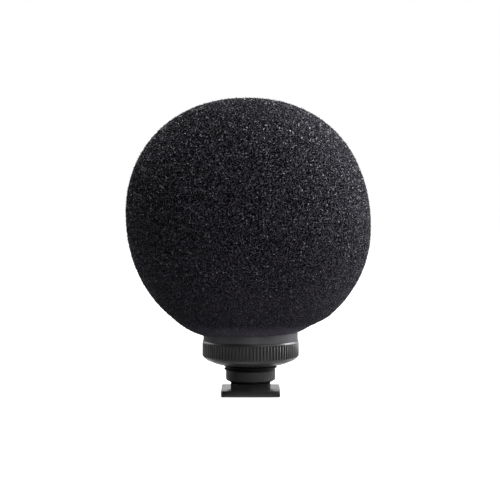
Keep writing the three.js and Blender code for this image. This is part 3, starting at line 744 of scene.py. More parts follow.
thread_radius = stem_high.x
stem_top = base_low.z
stem_profile = [
    (0, stem_low.z), (STEM_RADIUS - STEM_BEVEL[0], stem_low.z),
    (STEM_RADIUS - STEM_EDGE, stem_low.z + STEM_BEVEL[1] - 0.1),
    (STEM_RADIUS, stem_low.z + STEM_BEVEL[1] + STEM_EDGE), (STEM_RADIUS, stem_top - STEM_TOP_EDGE),
    (STEM_RADIUS - STEM_TOP_EDGE, stem_top), (SPIGOT_RADIUS, stem_top),
    (SPIGOT_RADIUS, stem_high.z), (0, stem_high.z),
]


def thread_tree():
    """Sweeps a pointed section along a helix and joins it to the stem."""
    tree, enter = empty_tree("thread", "Turns", "Height", "Radius", "Depth", "Width", "Start")
    node, maths, ramp = adders(tree)
    helix = node("GeometryNodeCurveSpiral", {
        "Resolution": HELIX_STEPS, "Rotations": enter["Turns"], "Start Radius": enter["Radius"],
        "End Radius": enter["Radius"], "Height": enter["Height"],
    })
    upright = node("GeometryNodeSetCurveNormal", {"Curve": helix.outputs[0]}, mode="Z_UP")
    along = node("GeometryNodeSplineParameter").outputs["Length"]
    runout = THREAD_RUNOUT * math.tau * STEM_RADIUS * MM
    growth = ramp(along, 0.0, runout, THREAD_FIRST_SHARE, 1.0, smooth=True)
    half = maths("MULTIPLY", enter["Width"], 0.5)
    crest = maths("MULTIPLY", enter["Width"], CREST_SHARE)
    sunk = maths("MULTIPLY", enter["Depth"], SUNK_SHARE)
    proud = maths("MULTIPLY", enter["Depth"], -1.0)
    corners = [
        (sunk, maths("MULTIPLY", half, -1.0)), (proud, maths("MULTIPLY", crest, -1.0)),
        (proud, crest), (sunk, half),
    ]
    section = node("GeometryNodeCurvePrimitiveQuadrilateral", mode="POINTS")
    for number, (out, up) in enumerate(corners):
        point = node("ShaderNodeCombineXYZ", {"X": out, "Y": up})
        tree.links.new(point.outputs[0], section.inputs[f"Point {number + 1}"])
    ridge = node("GeometryNodeCurveToMesh", {
        "Curve": upright.outputs[0], "Profile Curve": section.outputs[0], "Scale": growth,
        "Fill Caps": True,
    })
    lift = node("ShaderNodeCombineXYZ", {"Z": enter["Start"]}).outputs[0]
    moved = node("GeometryNodeTransform", {"Geometry": ridge.outputs[0], "Translation": lift})
    return end_tree(tree, moved.outputs[0], finishes["stem_metal"], join=enter["Geometry"])


thread_length = stem_top - THREAD_END_GAP - stem_low.z - THREAD_START
stem = run_tree(
    lathe("threaded_stem", stem_profile, STEM_SEGMENTS), thread_tree(),
    Turns=thread_length / THREAD_PITCH, Height=thread_length * MM, Radius=STEM_RADIUS * MM,
    Depth=(thread_radius - STEM_RADIUS) * MM, Width=THREAD_WIDTH_SHARE * THREAD_PITCH * MM,
    Start=(stem_low.z + THREAD_START) * MM,
)
dress(shade(stem), "stem_metal", "stem")
print("thread", round(thread_length / THREAD_PITCH, 1), "turns")

# %% [markdown]
# ## Locking wheel
#
# The wheel is a turned disc with ribs round its wall for the fingers. A smooth rim above them rises
# a little round the foot of the collar, and a smooth slope leads in below. The ribs are alike, so
# the tree takes one and sets 88 of them on a circle. Each rib is a short bar with a rounded front,
# sunk into the disc, which is how a moulded rib meets its wall. A rubber washer lies under the
# wheel and spreads its push on the shoe.

# %% Wheel
RIB_COUNT = 88
RIB_DEPTH = 0.4
RIB_WIDTH_SHARE = 0.56
RIB_END_SHARE = 0.9
RIB_ROUNDNESS = 0.6
RIB_STEPS = 6
WALL_START = 2.1
SHOULDER = (14.0, 1.0)
SLOPE_STEP = 0.25
FACE_RADIUS = 11.6
RIM_HEIGHT = 0.3
RIM_PROUD = 0.42
RIM_GAP = 0.06
RIM_CURVE = ((0.04, 0.25), (0.13, 0.5))
RIM_TOP_INSET = 0.22
RIB_CREASE, WHEEL_CREASE = 50, 40
RIB_OVERLAP = 0.1
WHEEL_EDGE = 0.12
WHEEL_GAP = 0.15
WHEEL_BORE = thread_radius + WHEEL_GAP
WASHER_EDGE = 0.2
washer_seat = washer_high.x + WHEEL_GAP
seat_top = washer_high.z + WHEEL_GAP
wall_radius = wheel_radius - RIB_DEPTH
rim_bottom = wheel_high.z - RIM_HEIGHT
rim_top = wheel_high.z + RIM_PROUD

wheel_profile = [
    (washer_seat, wheel_low.z), (FACE_RADIUS, wheel_low.z),
    (SHOULDER[0], wheel_low.z + SHOULDER[1]), (wall_radius, wheel_low.z + WALL_START - SLOPE_STEP),
    (wall_radius, rim_bottom), (wheel_radius, rim_bottom),
    *((wheel_radius - inset, rim_bottom + rise) for inset, rise in RIM_CURVE),
    (wheel_radius - RIM_TOP_INSET, rim_top),
    (base_high.x + RIM_GAP, rim_top), (base_high.x + RIM_GAP, wheel_high.z),
    (WHEEL_BORE, wheel_high.z), (WHEEL_BORE, seat_top), (washer_seat, seat_top),
]


def rib_bar(width, depth, bottom, top):
    """One rib as a bar with a rounded front, in millimetres, that faces +X."""
    shape = bmesh.new()
    inset = RIB_END_SHARE * depth
    rows = []
    for height, shrink in ((bottom, inset), (bottom + inset, 0), (top - inset, 0), (top, inset)):
        points = [(-depth, -width / 2)]
        for step in range(RIB_STEPS + 1):
            angle = math.pi * (step / RIB_STEPS - 0.5)
            out = (depth - shrink) * math.cos(angle) ** RIB_ROUNDNESS if 0 < step < RIB_STEPS else 0
            points.append((out, width / 2 * math.sin(angle)))
        points.append((-depth, width / 2))
        rows.append([shape.verts.new((x * MM, y * MM, height * MM)) for x, y in points])
    for one, two in zip(rows, rows[1:]):
        for i in range(len(one)):
            j = (i + 1) % len(one)
            shape.faces.new((one[i], one[j], two[j], two[i]))
    shape.faces.new(rows[0])
    shape.faces.new(rows[-1])
    return from_bmesh("rib", shape)


def circle_tree(name, part, material):
    """Sets copies of a part on a circle, each facing out, and joins them to the mesh it is given."""
    tree, enter = empty_tree(name, "Count", "Radius", "Turn")
    node, _, _ = adders(tree)
    circle = node("GeometryNodeMeshCircle", {"Vertices": enter["Count"], "Radius": enter["Radius"]})
    turn = node("ShaderNodeCombineXYZ", {"Z": enter["Turn"]}).outputs[0]
    started = node("GeometryNodeTransform", {"Geometry": circle.outputs[0], "Rotation": turn})
    spot = node("GeometryNodeInputPosition").outputs[0]
    facing = node("FunctionNodeAlignRotationToVector", {"Vector": spot}, axis="X")
    info = node("GeometryNodeObjectInfo", {"Object": part})
    copies = node("GeometryNodeInstanceOnPoints", {
        "Points": started.outputs[0], "Instance": info.outputs["Geometry"],
        "Rotation": facing.outputs[0],
    })
    return end_tree(tree, copies.outputs[0], material, join=enter["Geometry"])


def ring_of(piece, part, material, count, radius, turn=0):
    """Joins a circle of copies of a part to a piece. The part is modelled to face +X."""
    tree = circle_tree(f"{piece.name}_tree", part, finishes[material])
    run_tree(piece, tree, Count=count, Radius=radius * MM, Turn=turn)
    bpy.data.objects.remove(part)
    return piece


rib_width = math.tau * wheel_radius / RIB_COUNT * RIB_WIDTH_SHARE
rib_bottom = wheel_low.z + WALL_START - RIB_OVERLAP
rib = shade(rib_bar(rib_width, RIB_DEPTH, rib_bottom, rim_bottom + RIB_OVERLAP), RIB_CREASE)
wheel = turned("ribbed_wheel", wheel_profile, WHEEL_EDGE, 2 * RIB_COUNT)
ring_of(wheel, rib, "wheel_plastic", RIB_COUNT, wall_radius)
dress(shade(wheel, WHEEL_CREASE), "wheel_plastic", "lock_wheel", body="wheel")

# %% Clamp washer
washer_ring = ring(WHEEL_BORE, washer_high.x, washer_low.z, washer_high.z)
washer = shade(turned("clamp_washer_fine", washer_ring, WASHER_EDGE))
dress(washer, "rubber", "clamp_washer", body="washer")

# %% [markdown]
# ## Base housing
#
# One moulding makes the collar above the wheel, the spigot inside the tube and the boss behind for
# the socket. The collar and spigot are turned, the boss is an arch pushed back along Y, and the
# two are joined and then bored. The boss starts a little above the collar's underside, so that the
# wheel's raised rim turns clear of it.

# %% Base housing
BOSS_WIDTH = 7.8
BOSS_LIFT = 0.25
BOSS_EDGE = 0.25
BOSS_END_WALL = 1.2
BOSS_SINK = 0.2
BARREL_START = 7
COLLAR_HEIGHT = 3.0
COLLAR_ROUND = 0.3
SPIGOT_WALL = 1.4
TUBE_WALL = 1.2
NOSE_RADIUS = 2.5
ARCH_STEPS = 24
TUBE_SEGMENTS = 160
socket_height = middle("output_jack").z
jack_radius = high("output_jack").x
spigot_radius = body_radius - TUBE_WALL - FIT_GAP
collar_top = base_low.z + COLLAR_HEIGHT


def arch(half_width, bottom):
    """An outline with straight sides and a round top about the socket's axis."""
    turn = [math.pi * i / ARCH_STEPS for i in range(ARCH_STEPS + 1)]
    top = [(half_width * math.cos(a), socket_height + half_width * math.sin(a)) for a in turn]
    return [(-half_width, bottom), (half_width, bottom), *top]


def laid_back(piece):
    """Lays a piece that was turned about Z along Y, at the socket's height."""
    return place(piece, z=socket_height, about="X", degrees=-90)


def base():
    """The collar, the spigot and the bored boss."""
    bore = SPIGOT_RADIUS + FIT_GAP
    inner = spigot_radius - SPIGOT_WALL
    outer = base_high.x
    piece = turned("base_housing_fine", [
        (bore, base_low.z), (outer, base_low.z), (outer, collar_top), (spigot_radius, collar_top),
        (spigot_radius, base_high.z), (inner, base_high.z), (inner, collar_top),
        (bore, collar_top),
    ], COLLAR_ROUND, TUBE_SEGMENTS)
    boss = prism("boss", arch(BOSS_WIDTH / 2, base_low.z + BOSS_LIFT), inner + BOSS_SINK, base_high.y)
    combine(piece, soften(boss, BOSS_EDGE, 3), "UNION")
    wide, shoulder = jack_radius + FIT_GAP, base_high.y - BOSS_END_WALL
    narrow, end = NOSE_RADIUS + FIT_GAP, base_high.y + 2 * OVERRUN
    barrel = lathe("barrel", [
        (0, BARREL_START), (wide, BARREL_START), (wide, shoulder), (narrow, shoulder),
        (narrow, end), (0, end),
    ], HOLE_SEGMENTS)
    return shade(combine(piece, laid_back(barrel)))


dress(base(), "base_plastic", "base_housing")

# %% [markdown]
# ## Socket and nut
#
# The socket's nose comes through the boss and takes a nickel-plated nut with two notches for a
# pin wrench. Both are turned pieces laid along Y.

# %% Socket and nut
PLUG_RADIUS = 1.8
PLUG_DEPTH = 13
TIP_RADIUS = 0.4
TAIL_LENGTH = 5.6
JACK_EDGE = 0.18
JACK_SEGMENTS = 64
NUT_EDGE = 0.22
NOTCH_REACH = 5
NOTCH_WIDTH = 1.2
NOTCH_DEPTH = 0.4

jack_start, jack_end = low("output_jack").y + TAIL_LENGTH, high("output_jack").y
jack_shoulder = base_high.y - BOSS_END_WALL
jack = laid_back(turned("output_jack_fine", [
    (TIP_RADIUS, jack_start), (jack_radius, jack_start), (jack_radius, jack_shoulder),
    (NOSE_RADIUS, jack_shoulder), (NOSE_RADIUS, jack_end), (PLUG_RADIUS, jack_end),
    (PLUG_RADIUS, jack_end - PLUG_DEPTH), (TIP_RADIUS, jack_end - PLUG_DEPTH),
], JACK_EDGE, JACK_SEGMENTS))
dress(shade(jack), "moulding", "output_jack")

nut_high = high("jack_nut")
nut_ring = ring(NOSE_RADIUS + FIT_GAP, nut_high.x, base_high.y, nut_high.y)
nut = laid_back(turned("jack_nut_fine", nut_ring, NUT_EDGE, JACK_SEGMENTS))
notch_side = mirrored([(NOTCH_REACH, -NOTCH_WIDTH / 2), (NOTCH_REACH, NOTCH_WIDTH / 2)])
notch = prism("notch", notch_side, nut_high.y - NOTCH_DEPTH, nut_high.y + OVERRUN)
combine(nut, place(notch, z=socket_height))
dress(shade(nut), "nickel", "jack_nut")

# %% [markdown]
# ## Body tube and head ring
#
# With the foam off, a plain black tube shows, and on it a turned ring that carries the cage. The
# tube is a ring of metal with a slot in its lower rim, which lets it drop past the boss, and three
# countersunk holes. A lathe makes both, with every edge slightly broken so that it shines.

# %% Body tube
NOTCH_GAP = 0.35
TUBE_EDGE = 0.15
HOLE_DEPTH = 3


def body_tube():
    """The tube with its slot and its screw holes."""
    tube_ring = ring(body_radius - TUBE_WALL, body_radius, tube_low.z, tube_high.z)
    piece = turned("body_tube_fine", tube_ring, TUBE_EDGE, TUBE_SEGMENTS)
    slot = arch(BOSS_WIDTH / 2 + NOTCH_GAP, base_low.z - OVERRUN)
    combine(piece, prism("slot", slot, 0, base_high.y))
    for i in range(3):
        screw = f"body_screw_{i + 1}"
        hole = screw_hole("body_screw", 0, -HOLE_DEPTH)
        place(hole, x=body_radius - BODY_SCREW_SINK, about="Y", degrees=90)
        turn = math.degrees(math.atan2(outward(screw).y, outward(screw).x))
        combine(piece, place(hole, z=middle(screw).z, about="Z", degrees=turn))
    return shade(piece)


dress(body_tube(), "body_metal", "body_tube")
screws("body_screw", 3)

# %% Head ring
CAGE_WALL = 1.1
LIP_STEP = 0.75
head_low, head_high = low("head_ring"), high("head_ring")
spring_low, spring_high = low("suspension_ring"), high("suspension_ring")
cage_bore = body_radius - CAGE_WALL
spring_radius = spring_high.x
lip_radius = spring_radius - LIP_STEP
rebate, seat_bore = cage_bore - FIT_GAP, spring_radius + FIT_GAP
head_ring = turned("head_ring_fine", [
    (lip_radius, head_low.z), (spigot_radius, head_low.z), (spigot_radius, tube_high.z),
    (body_radius, tube_high.z), (body_radius, cage_low.z), (rebate, cage_low.z),
    (rebate, head_high.z), (seat_bore, head_high.z), (seat_bore, spring_low.z),
    (lip_radius, spring_low.z),
], TUBE_EDGE)
dress(shade(head_ring), "body_metal", "head_ring")

# %% [markdown]
# ## Grille cage
#
# The cage is a domed shell with sixteen round-ended slots, which leave upright bars and a closed
# crown. The slots repeat, so the tree that set the ribs on the wheel now sets sixteen cutters round
# the dome, and one boolean takes them all away. A cutter starts well outside the axis, and that is
# what leaves the crown.

# %% Grille cage
SLOT_COUNT = 16
SLOT_WIDTH = 1.8
SLOT_START = 3.2
SLOT_INNER_RADIUS = 6.5
SLOT_END_STEPS = 16
DOME_STEPS = 28


def dome(radius, steps):
    """Points on the dome's quarter circle, from just beside the axis down to its side."""
    turn = [math.pi / 2 * (1 - i / steps) for i in range(1, steps + 1)]
    return [(radius * math.cos(a), dome_centre + radius * math.sin(a)) for a in turn]


def cutters(part, *circle):
    """A circle of copies of a cutter, as one piece."""
    return ring_of(new_object("cutters", bpy.data.meshes.new("cutters")), part, "body_metal", *circle)


def grille_cage():
    """The domed shell less its slots."""
    shell = lathe("grille_cage_fine", [
        (0, cage_high.z), *dome(body_radius, DOME_STEPS), (body_radius, cage_low.z + TUBE_EDGE),
        (body_radius - TUBE_EDGE, cage_low.z), (cage_bore, cage_low.z),
        *reversed(dome(cage_bore, DOME_STEPS)), (0, dome_centre + cage_bore),
    ])
    half = SLOT_WIDTH / 2
    start, top = cage_low.z + SLOT_START + half, cage_high.z + OVERRUN
    turn = [math.pi * (1 + i / SLOT_END_STEPS) for i in range(SLOT_END_STEPS + 1)]
    end = [(half * math.cos(a), start + half * math.sin(a)) for a in turn]
    cutter = prism("slot", [(-half, top), *end, (half, top)], 0,
                   body_radius - SLOT_INNER_RADIUS + OVERRUN)
    place(cutter, about="Z", degrees=-90)
    slots = cutters(cutter, SLOT_COUNT, SLOT_INNER_RADIUS, math.pi / SLOT_COUNT)
    return shade(combine(shell, slots))


dress(grille_cage(), "body_metal", "grille_cage")

# %% [markdown]
# ## Capsules and their cradle
#
# Behind the bars two small capsules cross their aims, one above the other, so that one hears the
# left and one the right. Each is a drawn can with six sound holes in a sunk front, in a rubber
# sleeve, and a moulded cradle holds both in clamp rings. The cradle stands in a rubber ring, which
# keeps the handling noise out. Two leads run down from the backs of the capsules.

# %% Capsules
CAPSULE_RADIUS = 4.0
CAPSULE_LENGTH = 6.0
CAPSULE_AIM = 45
CAPSULE_RIM = 0.8
CAPSULE_RECESS = 0.4
CAPSULE_EDGE = 0.15
CAPSULE_SEGMENTS = 64
SOUND_HOLE = 0.4
SOUND_HOLES = 6
SOUND_CIRCLE = 1.9
SOUND_SEGMENTS = 16
BOOT_WALL = 0.8
BOOT_LENGTH = 4.6
BOOT_EDGE = 0.25
boot_bore = CAPSULE_RADIUS + FIT_GAP
boot_radius = boot_bore + BOOT_WALL
capsule_sides = {"left": -1, "right": 1}


def capsule_height(side):
    """The height of a capsule's axis."""
    return middle(f"capsule_{side}").z


def aimed(piece, side):
    """Lays a piece that was turned about Z along its capsule's axis."""
    place(piece, about="X", degrees=-90)
    return place(piece, z=capsule_height(side), about="Z", degrees=capsule_sides[side] * CAPSULE_AIM)


def sleeve(name, bore, radius, length, *finish):
    """A ring round the middle of a capsule, with its corners rounded."""
    near = (CAPSULE_LENGTH - length) / 2
    return turned(name, ring(bore, radius, near, near + length), *finish)


def capsule(side):
    """A can with a sunk front and its sound holes, aimed to its side."""
    well, edge = CAPSULE_RADIUS - CAPSULE_RIM, CAPSULE_EDGE
    piece = lathe(f"capsule_{side}_fine", [
        (0, CAPSULE_RECESS), (well, CAPSULE_RECESS), (well, edge), (well + edge, 0),
        (CAPSULE_RADIUS - edge, 0), (CAPSULE_RADIUS, edge),
        (CAPSULE_RADIUS, CAPSULE_LENGTH - edge), (CAPSULE_RADIUS - edge, CAPSULE_LENGTH),
        (0, CAPSULE_LENGTH),
    ], CAPSULE_SEGMENTS)
    hole = pin(SOUND_HOLE, -OVERRUN, OVERRUN, SOUND_SEGMENTS)
    combine(piece, cutters(hole, SOUND_HOLES, SOUND_CIRCLE))
    return aimed(shade(piece), side)


for side in capsule_sides:
    dress(capsule(side), "nickel", f"capsule_{side}")
    boot = sleeve(f"capsule_boot_{side}_fine", boot_bore, boot_radius, BOOT_LENGTH, BOOT_EDGE,
                  CAPSULE_SEGMENTS)
    dress(aimed(shade(boot), side), "rubber", f"capsule_boot_{side}")

# %% Cradle and its rubber ring
CLAMP_WALL = 0.8
CLAMP_LENGTH = 3.6
CRADLE_FOOT_RADIUS = 7.4
CRADLE_FOOT_THICKNESS = 1.2
CRADLE_HUB_RADIUS = 5.5
CRADLE_EDGE = 0.2
CRADLE_SEGMENTS = 96
SPINE_WIDTH = 6.0
SPINE_THICKNESS = 3.6
SPINE_ROOM = 2.5
SPINE_SINK = 0.5
SPINE_EDGE = 0.3
TONGUE_STEPS = 16
FOLD = 1.1
LEAD_CIRCLE = 7.8
LEAD_HOLE = 0.85
LEAD_HOLE_SEGMENTS = 24
LEAD_LOOP = 2.3
FRONT_SIDE = 20
clamp_bore = boot_radius + FIT_GAP
clamp_radius = clamp_bore + CLAMP_WALL
foot_top = spring_high.z + CRADLE_FOOT_THICKNESS


def tongue(radius, start):
    """An outline from a straight front edge back to an arc round the axis."""
    half = SPINE_WIDTH / 2
    first = math.acos(half / radius)
    turn = [first + (math.pi - 2 * first) * i / TONGUE_STEPS for i in range(TONGUE_STEPS + 1)]
    arc = [(radius * math.cos(a), radius * math.sin(a)) for a in turn]
    return [(-half, start), (half, start), *arc]


def lead_holes(bottom, top):
    """The two ways down for the leads: the back two of four on a circle."""
    holes = cutters(pin(LEAD_HOLE, bottom, top, LEAD_HOLE_SEGMENTS), 4, LEAD_CIRCLE, math.pi / 4)
    front = mirrored([(FRONT_SIDE, -FRONT_SIDE), (FRONT_SIDE, 0)])
    return combine(holes, column("front", front, bottom - OVERRUN, top + OVERRUN))


def cradle():
    """The foot and the spine, joined by a tongue, then both clamps and the ways through."""
    piece = lathe("capsule_cradle_fine", [
        (0, spring_low.z), (CRADLE_HUB_RADIUS, spring_low.z), (CRADLE_HUB_RADIUS, spring_high.z),
        (CRADLE_FOOT_RADIUS, spring_high.z), (CRADLE_FOOT_RADIUS, foot_top - CRADLE_EDGE),
        (CRADLE_FOOT_RADIUS - CRADLE_EDGE, foot_top), (0, foot_top),
    ], CRADLE_SEGMENTS)
    back = cage_bore - SPINE_ROOM
    top = capsule_height("right") + clamp_radius / 2
    spine = column("spine", tongue(back, back - SPINE_THICKNESS), foot_top - SPINE_SINK, top)
    combine(piece, soften(spine, SPINE_EDGE, 3), "UNION")
    bridge = column("tongue", tongue(back - FIT_GAP, 0), spring_high.z, foot_top)
    combine(piece, bridge, "UNION")
    for side in capsule_sides:
        clamp = sleeve("clamp", clamp_bore, clamp_radius, CLAMP_LENGTH, CRADLE_EDGE, CRADLE_SEGMENTS)
        combine(piece, aimed(clamp, side), "UNION")
    for side in capsule_sides:
        room = pin(clamp_bore, -CAPSULE_LENGTH, 2 * CAPSULE_LENGTH, CRADLE_SEGMENTS)
        combine(piece, aimed(room, side))
    reach = capsule_height("right") - LEAD_LOOP
    return shade(combine(piece, lead_holes(spring_low.z - 2 * OVERRUN, reach)))


dress(cradle(), "moulding", "capsule_cradle")

hub_seat = CRADLE_HUB_RADIUS + FIT_GAP
fold_middle = (hub_seat + spring_radius) / 2
spring = turned("suspension_ring_fine", [
    (hub_seat, spring_low.z), (fold_middle - FOLD / 2, spring_low.z),
    (fold_middle, spring_low.z + FOLD), (fold_middle + FOLD / 2, spring_low.z),
    (spring_radius, spring_low.z), (spring_radius, spring_high.z), (hub_seat, spring_high.z),
], CRADLE_EDGE, CRADLE_SEGMENTS)
combine(spring, lead_holes(spring_low.z - OVERRUN, spring_high.z + OVERRUN))
dress(shade(spring), "rubber", "suspension_ring")

# %% [markdown]
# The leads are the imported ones, rounded off: a copy's split corners are merged, its triangles are
# joined to quads, and a subdivision surface makes the eight sides round.


# %% Leads
MERGE_REACH = 0.001
FACE_LIMIT, SHAPE_LIMIT = 0.7, 3.1
LEAD_CREASE = 60


def rounded_copy(node):
    """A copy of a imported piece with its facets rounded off."""
    shape = bmesh.new()
    shape.from_mesh(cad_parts[node].data)
    bmesh.ops.remove_doubles(shape, verts=shape.verts, dist=MERGE_REACH * MM)
    bmesh.ops.join_triangles(
        shape, faces=shape.faces, angle_face_threshold=FACE_LIMIT, angle_shape_threshold=SHAPE_LIMIT,
    )
    piece = from_bmesh(f"{node}_fine", shape)
    piece.modifiers.new("smooth", "SUBSURF").levels = 2
    return shade(settle(piece), LEAD_CREASE)


for side, colour in (("left", "red"), ("right", "grey")):
    node = f"capsule_lead_{side}"
    dress(rounded_copy(node), f"lead_{colour}", node)

# %% [markdown]
# ## Foam ball
#
# The ball is moulded from open-cell foam, a little squarer than a sphere above. It sits slightly
# askew on its bore, as foam pulled on by hand does: its crown leans to the left and its lower lip
# hangs further over the collar there. The solid is a lathe with a blind bore. A voxel remesh then
# spreads faces of one size all over it, and the tree pushes the skin in at every cell, leans the
# ball and tilts its lip. Apart from a touch at the crown, the skin is only ever pushed in, and that
# keeps the foam clear of the body.

# %% Foam solid
FOAM_RADIUS = 39.0
FOAM_TOP_POWER = 2.17
FOAM_LOW_POWER = 2.07
FOAM_GAP = 0.3
FOAM_STEPS = 90
FOAM_DOME_STEPS = 15
FOAM_SEGMENTS = 144
FOAM_VOXEL = 0.42
foam_centre = foam_high.z - FOAM_RADIUS
foam_bore = body_radius + FOAM_GAP
foam_crown = dome_centre + foam_bore
foam_seat = collar_top + FIT_GAP
skirt_radius = base_high.x + FOAM_GAP


def foam_profile():
    """Under the seat and the skirt, round the ball and back down inside the bore."""
    rim = (foam_centre - foam_low.z) / FOAM_RADIUS
    first = -math.asin(rim ** (FOAM_LOW_POWER / 2))
    points = [(foam_bore, foam_seat), (skirt_radius, foam_seat), (skirt_radius, foam_low.z)]
    for i in range(FOAM_STEPS):
        angle = first + (math.pi / 2 - first) * i / FOAM_STEPS
        power = 2 / (FOAM_LOW_POWER if angle < 0 else FOAM_TOP_POWER)
        rise = math.copysign(abs(math.sin(angle)) ** power, angle)
        points.append((FOAM_RADIUS * math.cos(angle) ** power, foam_centre + FOAM_RADIUS * rise))
    return [*points, (0, foam_high.z), (0, foam_crown), *dome(foam_bore, FOAM_DOME_STEPS)]


def foam_solid():
    """The ball with its bore and the groove for the boss, in faces of one size."""
    piece = lathe("foam_ball", foam_profile(), FOAM_SEGMENTS)
    groove = arch(BOSS_WIDTH / 2 + NOTCH_GAP, base_low.z - OVERRUN)
    combine(piece, prism("groove", groove, 0, FOAM_RADIUS))
    spread = piece.modifiers.new("spread", "REMESH")
    spread.mode = "VOXEL"
    spread.voxel_size = FOAM_VOXEL * MM
    smooth = piece.modifiers.new("smooth", "SMOOTH")
    smooth.factor = 0.5
    smooth.iterations = 2
    return settle(piece)


foam = foam_solid()
print("foam", len(foam.data.polygons), "faces after the remesh")

# %% Foam skin
CROWN_LEAN = 0.95
WHOLE_LEAN = 0.3
LIP_TILT = 0.036
LIP_LIFT = 0.25
LIP_REACH = 5
FOAM_RELIEF = 0.6
FOAM_PROUD = 0.2
PIT_RANGE = (0.03, 0.32)
LUMP_SIZE = 0.8
LUMP_RANGE = (0.4, 1.4)
LUMP_SHARE, CELL_SHARE = 0.4, 0.6
STILL_RADIUS, FREE_RADIUS = 13.4, 20
STILL_CROWN, FREE_CROWN = 1, 8
SKIRT_INSIDE, SKIRT_OUTSIDE = 0.25, 0.15
LEAN_START, LEAN_END = 38, 75
PROUD_START, PROUD_END = 70, 94


def foam_tree():
    """Leans the ball, tilts its lip and pits its skin."""
    tree, enter = empty_tree(
        "foam_skin", "Cell", "Relief", "Proud", "Crown lean", "Whole lean", "Lip tilt", "Lip lift"
    )
    node, maths, ramp = adders(tree)
    spot = node("GeometryNodeInputPosition").outputs[0]
    normal = node("GeometryNodeInputNormal").outputs[0]
    x, y, z = node("ShaderNodeSeparateXYZ", {0: spot}).outputs
    square = maths("ADD", maths("MULTIPLY", x, x), maths("MULTIPLY", y, y))
    radius = maths("SQRT", square)
    beside = ramp(radius, STILL_RADIUS * MM, FREE_RADIUS * MM, smooth=True)
    above = ramp(z, (foam_crown + STILL_CROWN) * MM, (foam_crown + FREE_CROWN) * MM, smooth=True)
    outside = maths("MAXIMUM", beside, above)
    high_up = ramp(z, LEAN_START * MM, LEAN_END * MM, smooth=True)
    slide = maths("MULTIPLY_ADD", high_up, enter["Crown lean"], enter["Whole lean"])
    slide = maths("MULTIPLY", maths("MULTIPLY", slide, outside), -1.0)
    on_skirt = ramp(radius, (skirt_radius - SKIRT_INSIDE) * MM, (skirt_radius + SKIRT_OUTSIDE) * MM)
    near_seat = ramp(z, foam_seat * MM, (foam_seat + LIP_REACH) * MM, 1.0, 0.0, smooth=True)
    rise = maths("MULTIPLY_ADD", x, enter["Lip tilt"], enter["Lip lift"])
    rise = maths("MULTIPLY", rise, maths("MULTIPLY", on_skirt, near_seat))
    shift = node("ShaderNodeCombineXYZ", {"X": slide, "Z": rise}).outputs[0]

    scale = maths("DIVIDE", 1.0, enter["Cell"])
    cells = node("ShaderNodeTexVoronoi", {"Vector": spot, "Scale": scale},
                 feature="DISTANCE_TO_EDGE")
    hollow = ramp(cells.outputs["Distance"], *PIT_RANGE, smooth=True)
    lumps = node("ShaderNodeTexNoise", {"Vector": spot, "Scale": 1 / (LUMP_SIZE * MM)})
    lump = ramp(lumps.outputs[0], *NOISE_RANGE, *LUMP_RANGE)
    pit = maths("MULTIPLY_ADD", lump, LUMP_SHARE, maths("MULTIPLY", hollow, CELL_SHARE))
    proud = maths("MULTIPLY", enter["Proud"], ramp(z, PROUD_START * MM, PROUD_END * MM))
    push = maths("SUBTRACT", proud, maths("MULTIPLY", pit, enter["Relief"]))
    pushed = node("ShaderNodeVectorMath", {0: normal, "Scale": push}, operation="SCALE").outputs[0]
    offset = node("ShaderNodeVectorMath", {0: pushed, 1: shift}).outputs[0]
    moved = node("GeometryNodeSetPosition", {"Geometry": enter["Geometry"], "Offset": offset})
    smooth = node("GeometryNodeSetShadeSmooth", {"Geometry": moved.outputs[0]})
    return end_tree(tree, smooth.outputs[0], finishes["foam"])


run_tree(foam, foam_tree(), **{
    "Cell": CELL * MM, "Relief": FOAM_RELIEF * MM, "Proud": FOAM_PROUD * MM,
    "Crown lean": CROWN_LEAN * MM, "Whole lean": WHOLE_LEAN * MM, "Lip tilt": LIP_TILT,
    "Lip lift": LIP_LIFT * MM,
})
dress(foam, "foam", "foam_windscreen", body="windscreen")

# %% [markdown]
# Where the foam was cut or moulded, the ends of its broken struts stand out of the skin, and each
# catches the light on its own. Seen from the side they give the ball its sparkle, which a pattern
# in the material can't do. A tree scatters small three-sided cones over the outer skin, tilts and
# scales each at random from a fixed seed, makes them larger towards the crown and keeps them clear
# of the bore.

# %% Strut ends
STRUT_SPACING = 1.0
STRUT_LENGTH = 0.3
STRUT_WIDTH = 0.2
STRUT_TIP_SHARE = 0.35
STRUT_TILT = 1.4
STRUT_SIZES = (0.6, 1.3)
STRUT_START, STRUT_END = 26, 80
STRUT_GROWTH = (0.45, 1.25)
STRUT_CLEAR = 1.5


